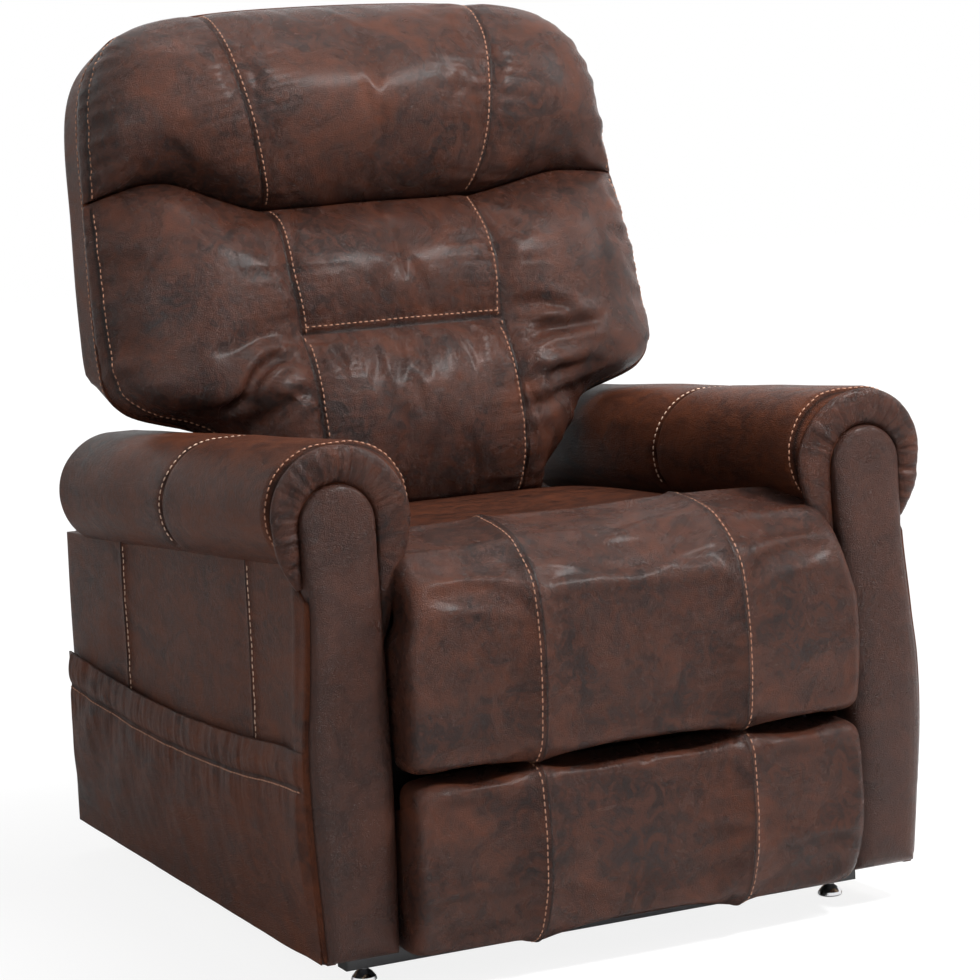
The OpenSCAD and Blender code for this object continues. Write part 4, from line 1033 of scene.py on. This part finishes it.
def gathered_band(sign):
    """The soft gathered ring between the column's rounded top and the end of the roll."""
    outer, top, inner = 0.0165, 0.0235, 0.0245
    centre = 0.542
    track = [(COLUMN_X + 0.0475, 0.474, 0.004), (COLUMN_X + 0.053, 0.490, 0.0085),
             (COLUMN_X + 0.059, 0.514, 0.0135), (COLUMN_X + COLUMN_R + outer, centre, 0.0150)]
    for k in range(1, 12):
        a = math.pi * k / 12
        foot = outer if a < math.pi / 2 else inner
        grow = foot + (top - foot) * math.sin(a)
        reach = COLUMN_R + grow
        track.append((COLUMN_X + reach * math.cos(a), centre + reach * math.sin(a), grow * 0.90))
    track += [(COLUMN_X - COLUMN_R - inner, centre, 0.0215), (COLUMN_X - 0.066, 0.510, 0.0185),
              (COLUMN_X - 0.060, 0.478, 0.0140), (COLUMN_X - 0.054, 0.440, 0.0085),
              (COLUMN_X - 0.048, 0.402, 0.003)]
    lengths = running_length([row[:2] for row in track])

    def middle(t):
        return [smooth_table(list(zip(lengths, values)), t) for values in zip(*track)]

    def ring(station, share):
        t = lengths[-1] * station / (BAND_RINGS - 1)
        x, z, half = middle(t)
        x1, z1, _ = middle(max(0.0, t - 0.002))
        x2, z2, _ = middle(min(lengths[-1], t + 0.002))
        size = math.hypot(x2 - x1, z2 - z1)
        nx, nz = (z2 - z1) / size, -(x2 - x1) / size
        a = 2 * math.pi * share
        gather = flutter(t * 95, sign * 3.0, 0.0) + 0.5 * flutter(t * 210, sign, 4.0)
        across = math.cos(a) * half
        ruffle = 0.0052 if t < lengths[-1] * 0.62 else 0.0012
        proud = max(0.0, math.sin(a)) * (0.0085 + ruffle * gather) * min(1.0, half / 0.013)
        back = min(0.0, math.sin(a)) * 0.010
        y = BAND_Y - proud - back
        return Vector((sign * (x + nx * across), y, z + nz * across))

    return loft(side_name(sign) + "_gathered_band", list(range(BAND_RINGS)), ring, 28, LEATHER)


print("gathered band:", BAND_RINGS, "rings")


# %% The column in front of the arm
COLUMN_SWELL = [[0.046, 0.030], [0.07, 0.0325], [0.15, 0.0375], [0.21, 0.0400], [0.27, 0.0388],
                [0.38, 0.0320], [0.45, 0.0245], [0.50, 0.0180], [0.545, 0.0130], [0.587, 0.0115]]
COLUMN_OUT = [[0.046, 0.391], [0.13, 0.397], [0.21, 0.402], [0.30, 0.402], [0.36, 0.396], [0.45, 0.3895],
              [0.54, 0.390]]
COLUMN_FACE = -0.402
COLUMN_SKIN = 0.0008


def column_ring(sign):
    """Round the column at one station: up its outer edge, over its top, down inside and along its foot."""
    def ring(station, share):
        y, draw, forward = station
        bottom, arch = ARM_BOTTOM + draw, COLUMN_TOP - COLUMN_R
        r = COLUMN_R + COLUMN_SKIN - draw
        shrink = r / (COLUMN_R + COLUMN_SKIN)
        straight, turn = arch - bottom, math.pi * r

        def outer(z):
            return COLUMN_X + (smooth_table(COLUMN_OUT, z) + COLUMN_SKIN - COLUMN_X) * shrink

        at = share * (2 * straight + turn + 2 * r)
        if at < straight:
            x, z = outer(bottom + at), bottom + at
        elif at < straight + turn:
            a = (at - straight) / r
            x, z = COLUMN_X + r * math.cos(a), arch + r * math.sin(a)
        elif at < 2 * straight + turn:
            x, z = COLUMN_X - r, arch - (at - straight - turn)
        else:
            f = (at - 2 * straight - turn) / (2 * r)
            x, z = COLUMN_X - r + (outer(bottom) - COLUMN_X + r) * f, bottom
        return Vector((sign * x, y - forward * smooth_table(COLUMN_SWELL, z), z))
    return ring


def arm_column(sign):
    profile = [(-0.3790, 0.0060, 0.0), (-0.3810, 0.0020, 0.0), (-0.386, 0.0, 0.0)]
    crown = [(0.0, 0.0), (0.0004, 0.22), (0.0010, 0.42), (0.0030, 0.60), (0.0060, 0.74), (0.0100, 0.85),
             (0.0155, 0.93), (0.0220, 0.975), (0.0300, 0.995), (0.0380, 1.0), (0.0435, 1.0),
             (COLUMN_R + COLUMN_SKIN, 1.0)]
    profile += [(COLUMN_FACE, draw, forward) for draw, forward in crown]
    name = side_name(sign) + "_column_cover"
    return loft(name, profile, column_ring(sign), 260, LEATHER_COLUMN, zipped=True)


def corner_route(sign):
    """Down the column's outer edge, where its face is sewn to the side panel."""
    return [(sign * (smooth_table(COLUMN_OUT, z) + 0.0004),
             COLUMN_FACE - 0.45 * smooth_table(COLUMN_SWELL, z), z)
            for z in steps(0.465, ARM_BOTTOM + 0.004, 90)]


print("column:", COLUMN_TOP, "m high, roll top", round(roll_z(ROLL_FRONT) + ROLL_R, 3), "m")

# %% [markdown]
# ## Arm panels
# The outer leather is sewn from three panels and wraps round to the seam on the column's corner. Behind
# the arm it is turned in over the frame. Each panel is a flat block with a low swell between its seams;
# they could be planes, but a thin closed block has the thickness that shows at its edges.

# %% Arm panels
PANEL_FRONT, PANEL_REAR = -0.388, 0.4115
PANEL_SEAMS = (-0.240, 0.188)
PANEL_X, PANEL_SKIN = 0.3785, 0.0105


def wrapped(z, t):
    """How much further forward the side leather runs at height z, to the seam on the column's corner."""
    reach = (0.014 + 0.43 * smooth_table(COLUMN_SWELL, z)) * clamp((0.478 - z) / 0.02)
    return -reach * max(0.0, 1 - t / 0.1) ** 2


def panel_place(sign):
    edges = [PANEL_FRONT, *PANEL_SEAMS, PANEL_REAR]

    def place(u, v, w):
        t = (u + 1) / 2
        y = PANEL_FRONT + (PANEL_REAR - PANEL_FRONT) * t
        top = roll_z(y) - 0.058
        z = ARM_BOTTOM + (top - ARM_BOTTOM) * v
        k = max(i for i in range(3) if edges[i] <= y + 1e-9)
        inside = (y - edges[k]) / (edges[k + 1] - edges[k])
        puff = 0.0032 * math.sin(math.pi * clamp(inside)) ** 0.45
        soft = 0.0011 * flutter(y * 11, z * 9, sign * 5.0)
        hem = 0.004 * max(0.0, 1 - v / 0.025)
        flare = (smooth_table(COLUMN_OUT, z) - 0.3895) * math.exp(-((y - PANEL_FRONT) / 0.04) ** 2)
        flare += 0.0022 * max(0.0, 1 - t / 0.06)
        forward = y + wrapped(z, t)
        ridge = 0.0020 * math.exp(-((forward + 0.386) / 0.008) ** 2) * clamp((z - 0.28) / 0.05)
        return Vector((sign * (PANEL_X + (PANEL_SKIN + puff + soft - hem + flare + ridge) * w), forward, z))
    return place


INNER_FRONT, INNER_LENGTH = -0.398, 0.797
INNER_X, INNER_SKIN = 0.3115, 0.0095


def inner_place(sign):
    def place(u, v, w):
        y = INNER_FRONT + INNER_LENGTH * (u + 1) / 2
        top = roll_z(y) - 0.055
        z = ARM_BOTTOM + (top - ARM_BOTTOM) * v
        puff = 0.0035 * math.sin(math.pi * v) ** 0.5 + 0.001 * flutter(y * 10, z * 10, sign)
        return Vector((sign * (INNER_X - (INNER_SKIN + puff) * w), y, z))
    return place


RETURN_X, RETURN_HALF, RETURN_CORNER = 0.3392, 0.0385, 0.86
RETURN_REAR, RETURN_FRONT = 0.4005, 0.357


def return_place(sign):
    """The side leather turned in behind the arm, and on over the frame behind the roll."""
    def place(u, v, w):
        x = sign * (RETURN_X + RETURN_HALF * u)
        lift = -0.0615 + 0.004 * w
        puff = 0.0015 * math.cos(u * math.pi / 2) ** 0.5 * w if abs(u) < 1 else 0.0
        rear = RETURN_REAR + 0.0110 * w + puff
        if v < RETURN_CORNER:
            top = roll_z(PANEL_REAR) + lift
            return Vector((x, rear, ARM_BOTTOM + (top - ARM_BOTTOM) * v / RETURN_CORNER))
        y = rear - (rear - RETURN_FRONT) * (v - RETURN_CORNER) / (1 - RETURN_CORNER)
        return Vector((x, y, roll_z(y) + lift))
    return place


print("outer panel:", round(PANEL_REAR - PANEL_FRONT, 3), "m long, seams at y =", PANEL_SEAMS)

# %% Make and sew both arms
CONTOUR_Y = -0.3955
ROLL_SEAM = dict(groove=0.0020, width=0.0034, dip=0.0016, reach=0.010, pucker=0.0004)
CONTOUR_SEAM = dict(groove=0.0022, width=0.0026, dip=0.0015, reach=0.007, pucker=0.0007, spread=0.012)
CORNER_SEAM = dict(groove=0.0016, width=0.0020, dip=0.0012, reach=0.006, pucker=0.0004, spread=0.010)
PANEL_SEAM = dict(groove=0.0022, width=0.0034, dip=0.0022, reach=0.012, pucker=0.0010, spread=0.018)


def slant(a):
    """The seam across the roll leans: it lies further forward on top."""
    return -0.056 - 0.012 * math.sin(a)


for sign in (1, -1):
    side = side_name(sign)
    roll = arm_roll(sign)
    seam = sew(roll, ring_route(slant, sign), **ROLL_SEAM, seed=40 + sign)
    contour_route = ring_route(lambda a: CONTOUR_Y, sign, -0.16, 0.66, 150)
    contour = sew(roll, contour_route, **CONTOUR_SEAM, seed=50 + sign)
    roll_thread = stitches(side + "_roll_thread", roll, [(*seam, -0.0050 * sign)], THREAD_PALE)
    contour_thread = stitches(side + "_contour_thread", roll, [(*contour, -0.0060 * sign)])
    band = gathered_band(sign)
    column = arm_column(sign)
    sew(column, corner_route(sign), **CORNER_SEAM, seed=80 + sign)
    place = panel_place(sign)
    panel = grid_block(side + "_outer_panel", (200, 120, 2), place, LEATHER_SIDE)
    panel_rows = []
    for k, y in enumerate(PANEL_SEAMS):
        u = 2 * (y - PANEL_FRONT) / (PANEL_REAR - PANEL_FRONT) - 1
        route = [place(u, v, 1.0) for v in steps(0.0, 1.0, 70)]
        panel_rows.append((*sew(panel, route, **PANEL_SEAM, seed=60 + k + sign), -0.0046 * sign))
    panel_thread = stitches(side + "_panel_thread", panel, panel_rows, THREAD_PALE)
    lining = grid_block(side + "_inner_panel", (90, 50, 2), inner_place(sign), LEATHER_SIDE)
    turned = grid_block(side + "_rear_return", (16, 60, 1), return_place(sign), LEATHER_SIDE)
    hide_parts(side + "_arm_roll")
    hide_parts(side + "_arm_front")
    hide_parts(side + "_arm_outer")
    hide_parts(side + "_arm_outer")
    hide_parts(side + "_arm_inner")
    for piece in (roll, roll_thread, contour_thread, band, column, panel, panel_thread, lining, turned):
        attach(piece, "chair")
print("arms:", ", ".join(side_name(sign) for sign in (1, -1)))

# %% [markdown]
# ## Side pocket
# The pocket hangs on the right arm. Elastic in its hem draws the leather into gathers, which fan out
# below it into long shallow folds. Cloth could gather it, but the folds would fall anew with every change,
# so here they are noise, close at the hem and slower below it.

# %% Pocket
POCKET_TOP = [[-0.386, 0.2925], [-0.20, 0.2745], [0.0, 0.2650], [0.20, 0.2665], [0.405, 0.2780]]
POCKET_FRONT, POCKET_LENGTH, POCKET_BOTTOM, POCKET_X = -0.386, 0.791, 0.0475, 0.3945
HEM = 0.042


def pocket_y(u):
    return POCKET_FRONT + POCKET_LENGTH * (u + 1) / 2


def pocket_place(u, v, w):
    y = pocket_y(u)
    top = smooth_table(POCKET_TOP, y)
    z = POCKET_BOTTOM + (top - POCKET_BOTTOM) * v
    below = top - z
    bent = y + 0.010 * flutter(y * 12, z * 16, 4.4)
    gather = flutter(bent * 52, 0.3, z * 4) + 0.45 * flutter(bent * 98, 2.3, z * 16)
    sway = flutter(y * 15 + z * 9, z * 7, 1.7) + 0.5 * flutter(y * 34 - z * 20, z * 16, 6.1)
    edge = min(1.0, (1 - abs(u)) / 0.03)
    in_hem = math.exp(-((below - 0.020) / 0.020) ** 2)
    belly = 0.0065 * math.sin(math.pi * min(1.0, below / 0.2)) ** 0.8
    out = 0.0030 + edge * (0.0030 * in_hem + belly + 0.0022 * gather * math.exp(-below / 0.040)
                           + 0.0030 * sway * math.exp(-abs(below - 0.07) / 0.09))
    t = (u + 1) / 2
    out += (smooth_table(COLUMN_OUT, z) - 0.3955) * math.exp(-(POCKET_LENGTH * t / 0.04) ** 2)
    return Vector((-(POCKET_X + out * w + 0.0010), y + wrapped(z, t), z))


pocket = grid_block("pocket_cover", (300, 90, 2), pocket_place, LEATHER_SIDE)
hem_route = []
for u in steps(-0.985, 0.985, 120):
    tall = smooth_table(POCKET_TOP, pocket_y(u)) - POCKET_BOTTOM
    hem_route.append(pocket_place(u, 1 - HEM / tall, 1.0))
hem_line = sew(pocket, hem_route, groove=0.0016, width=0.003, dip=0.0015, reach=0.008, pucker=0.0012,
               spread=0.012, seed=70.0)
pocket_thread = stitches("pocket_thread", pocket, [(*hem_line, 0.003)])
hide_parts("side_pocket")
for piece in (pocket, pocket_thread):
    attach(piece, "chair")

# %% [markdown]
# ## Back of the chair
# The back's outer cover is an open tray: two side bands and a slightly domed rear. It is a sheet bent
# round the frame, given its thickness by Solidify; a box would need its corners rounded one by one. A
# strip closes the tray at the top, and a tail hangs below it.

# %% Outer cover
COVER_DEPTH, COVER_WALL, COVER_CORNER = 0.088, 0.006, 0.034
COVER_ROWS = [(s, 0.0, 0.0) for s in (-0.112, -0.095, -0.075, -0.060, -0.045, -0.020, -0.005, 0.010, 0.030,
                                      0.050, 0.100, 0.150, 0.210, 0.270, 0.330, 0.390, 0.430, 0.455, 0.475,
                                      0.490)]
COVER_ROWS += [(0.500, 0.003, 0.002), (0.508, 0.008, 0.006), (0.514, 0.016, 0.012), (0.518, 0.028, 0.020),
               (0.519, 0.036, 0.027)]


def wing_half(s, t):
    """Half width behind the side seam: low down, the wings rise to pass over the arm rolls."""
    shift = 0.7 * max(0.0, t) * clamp((0.110 - s) / 0.06)
    return max(min(smooth_table(HALF_WIDTH, s), 0.214), smooth_table(HALF_WIDTH, s - shift))


def cover_place(x_grid, y_grid):
    """Grid share round the tray and share up it: a side, a rounded corner, the rear, a corner, a side."""
    rows = len(COVER_ROWS) - 1
    at = min(rows - 1e-6, y_grid * rows)
    k = int(at)
    f = at - k
    s, draw, front = (COVER_ROWS[k][i] * (1 - f) + COVER_ROWS[k + 1][i] * f for i in range(3))
    half = smooth_table(HALF_WIDTH, s) + 0.0005 - draw * 0.6
    deep = COVER_DEPTH - draw
    radius = min(COVER_CORNER, half / 3)
    wide, tall = half - radius, deep - radius
    side, arc = tall - front, radius * math.pi / 2
    at = x_grid * (2 * side + 2 * arc + 2 * wide)
    if at < side:
        x, t = -half, front + at
    elif at < side + arc:
        a = (at - side) / radius
        x, t = -half + radius * (1 - math.cos(a)), tall + radius * math.sin(a)
    elif at < side + arc + 2 * wide:
        x, t = -wide + (at - side - arc), deep
    elif at < side + 2 * arc + 2 * wide:
        a = (at - side - arc - 2 * wide) / radius
        x, t = wide + radius * math.sin(a), tall + radius * math.cos(a)
    else:
        x, t = half, tall - (at - side - 2 * arc - 2 * wide)
    dome = 0.011 * math.cos(math.pi * x / 2 / half) * clamp((s + 0.112) / 0.3) if t > tall else 0.0
    dome *= clamp((0.519 - s) / 0.03)
    x *= (wing_half(s, t) / smooth_table(HALF_WIDTH, s)) if s < 0.11 else 1.0
    return on_back(x, s + back_crown(x, s), t + dome)


bm = bmesh.new()
bmesh.ops.create_grid(bm, x_segments=150, y_segments=100, size=1.0)
for vert in bm.verts:
    vert.co = cover_place((vert.co.x + 1) / 2, (vert.co.y + 1) / 2)
bmesh.ops.recalc_face_normals(bm, faces=bm.faces)
cover = new_piece("back_cover_leather", bm, LEATHER_SIDE)
if cover.data.polygons[len(cover.data.polygons) // 2].normal.y < 0:
    cover.data.flip_normals()
wall = cover.modifiers.new("wall", "SOLIDIFY")
wall.thickness = COVER_WALL
wall.offset = -1
print("outer cover:", len(cover.data.polygons), "faces before its thickness")


# %% Top strip, tail and thread
LID_HALF, LID_S, LID_DEPTH, LID_THICK = 0.226, 0.5140, 0.0535, 0.0045
TAIL_HALF, TAIL_LOW, TAIL_HEIGHT, TAIL_T, TAIL_THICK = 0.172, -0.185, 0.079, 0.080, 0.006


def lid_place(u, v, w):
    x = LID_HALF * u
    s = LID_S + back_crown(x, 0.5135) - 0.0065 * abs(u) ** 6 + LID_THICK * w
    return on_back(x, s, 0.002 + LID_DEPTH * v)


def tail_place(u, v, w):
    return on_back(u * TAIL_HALF, TAIL_LOW + TAIL_HEIGHT * v, TAIL_T + TAIL_THICK * w)


lid = grid_block("back_top_leather", (60, 12, 1), lid_place, LEATHER_SIDE)
tail = grid_block("back_tail_leather", (40, 20, 1), tail_place, LEATHER_SIDE)
print("top strip", len(lid.data.vertices), "points, tail", len(tail.data.vertices), "points")
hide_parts("back_cover")
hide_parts("back_cover")
cover_rows = []
for sign in (-1, 1):
    seam_side = [on_back(sign * wing_half(s, 0.006), s, 0.006) for s in steps(0.030, 0.480, 120)]
    cover_rows.append((*on_surface(tree_of(cover), seam_side), 0.0))
cover_thread = stitches("back_cover_thread", cover, cover_rows)
for piece in (cover, lid, tail, cover_thread):
    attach(piece, "back")

# %% [markdown]
# ## Rear panel
# Between the arms, behind the seat, a low panel closes the frame. It swells a little and lies flat round
# the power inlet, so the inlet isn't buried in it.

# %% Rear panel
REAR_BOTTOM, REAR_HEIGHT, REAR_HALF, REAR_Y = 0.050, 0.371, 0.2985, 0.3725
INLET_X, INLET_LOW, INLET_HIGH = -0.055, 0.074, 0.116


def rear_place(u, v, w):
    z = REAR_BOTTOM + REAR_HEIGHT * v
    puff = 0.003 * math.sin(math.pi * v) ** 0.5 * math.cos(u * math.pi / 2) ** 0.3
    if abs(u * 0.299 - INLET_X) < 0.030 and INLET_LOW < z < INLET_HIGH:
        puff = 0.0
    return Vector((u * REAR_HALF, REAR_Y + (0.016 + puff) * w, z))


rear = grid_block("rear_cover", (90, 60, 2), rear_place, LEATHER_SIDE)
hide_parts("rear_panel")
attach(rear, "chair")
print("rear panel:", len(rear.data.vertices), "points")

# %% [markdown]
# ## Studio
# Large soft lamps above and in front give the long highlights along the rolls; small ones would make hard
# spots on the satin leather. The world fills the shadows a little. The floor glows white to the camera,
# less near the chair, where it keeps the chair's shadow.

# %% Lamps
def softbox(name, place, aim, size, energy):
    lamp_data = bpy.data.lights.new(name, "AREA")
    lamp_data.shape = "RECTANGLE"
    lamp_data.size, lamp_data.size_y = size
    lamp_data.energy = energy
    lamp = bpy.data.objects.new(name, lamp_data)
    scene.collection.objects.link(lamp)
    lamp.location = place
    lamp.rotation_euler = (Vector(aim) - Vector(place)).to_track_quat("-Z", "Y").to_euler()


softbox("key", (1.15, -1.65, 2.75), (0, -0.1, 0.6), (0.6, 0.38), 116)
softbox("top", (0.2, 0.2, 3.0), (0, 0, 0.6), (1.5, 0.45), 36)
softbox("rim", (2.5, -1.15, 2.45), (0, 0, 0.8), (0.6, 0.9), 56)
softbox("fill", (-2.4, -2.1, 1.7), (0, 0, 0.5), (0.8, 1.3), 21)
print("lamps:", [lamp.name for lamp in bpy.data.lights])

# %% World: white to the camera and in reflections, dim as a light
WORLD_LIGHT = 0.18
world = bpy.data.worlds.new("studio")
scene.world = world
world.use_nodes = True
tree = world.node_tree
background = tree.nodes["Background"]
ray = tree.nodes.new("ShaderNodeLightPath").outputs
seen = reckon(tree, "MAXIMUM", ray["Is Camera Ray"], ray["Is Transmission Ray"])
shown = reckon(tree, "MAXIMUM", seen, ray["Is Glossy Ray"])
feed(tree, background.inputs["Strength"], remap(tree, shown, in_To_Min=WORLD_LIGHT, in_To_Max=1.0))
background.inputs["Color"].default_value = (1, 1, 1, 1)
print("the world lights at", WORLD_LIGHT)

# %% Floor
bm = bmesh.new()
bmesh.ops.create_grid(bm, x_segments=1, y_segments=1, size=9.0)
floor_material, tree, shader = new_material("floor")
shader.inputs["Base Color"].default_value = (0.86, 0.86, 0.86, 1)
shader.inputs["Roughness"].default_value = 0.7
glow = node(tree, "ShaderNodeEmission", in_Strength=1.08)
away = node(tree, "ShaderNodeVectorMath", operation="LENGTH")
feed(tree, away.inputs[0], tree.nodes.new("ShaderNodeTexCoord").outputs["Object"])
clear = remap(tree, away.outputs["Value"], interpolation_type="SMOOTHSTEP", in_From_Min=0.55,
              in_From_Max=1.7, in_To_Min=0.80, in_To_Max=1.0)
ray = tree.nodes.new("ShaderNodeLightPath").outputs
blend_shader = tree.nodes.new("ShaderNodeMixShader")
feed(tree, blend_shader.inputs[0], reckon(tree, "MULTIPLY", ray["Is Camera Ray"], clear))
feed(tree, blend_shader.inputs[1], shader.outputs[0])
feed(tree, blend_shader.inputs[2], glow.outputs[0])
feed(tree, tree.nodes["Material Output"].inputs["Surface"], blend_shader.outputs[0])
floor = new_piece("floor", bm, floor_material)
scene.view_settings.view_transform = "Standard"
print("floor:", [round(side, 1) for side in floor.dimensions[:2]], "m")
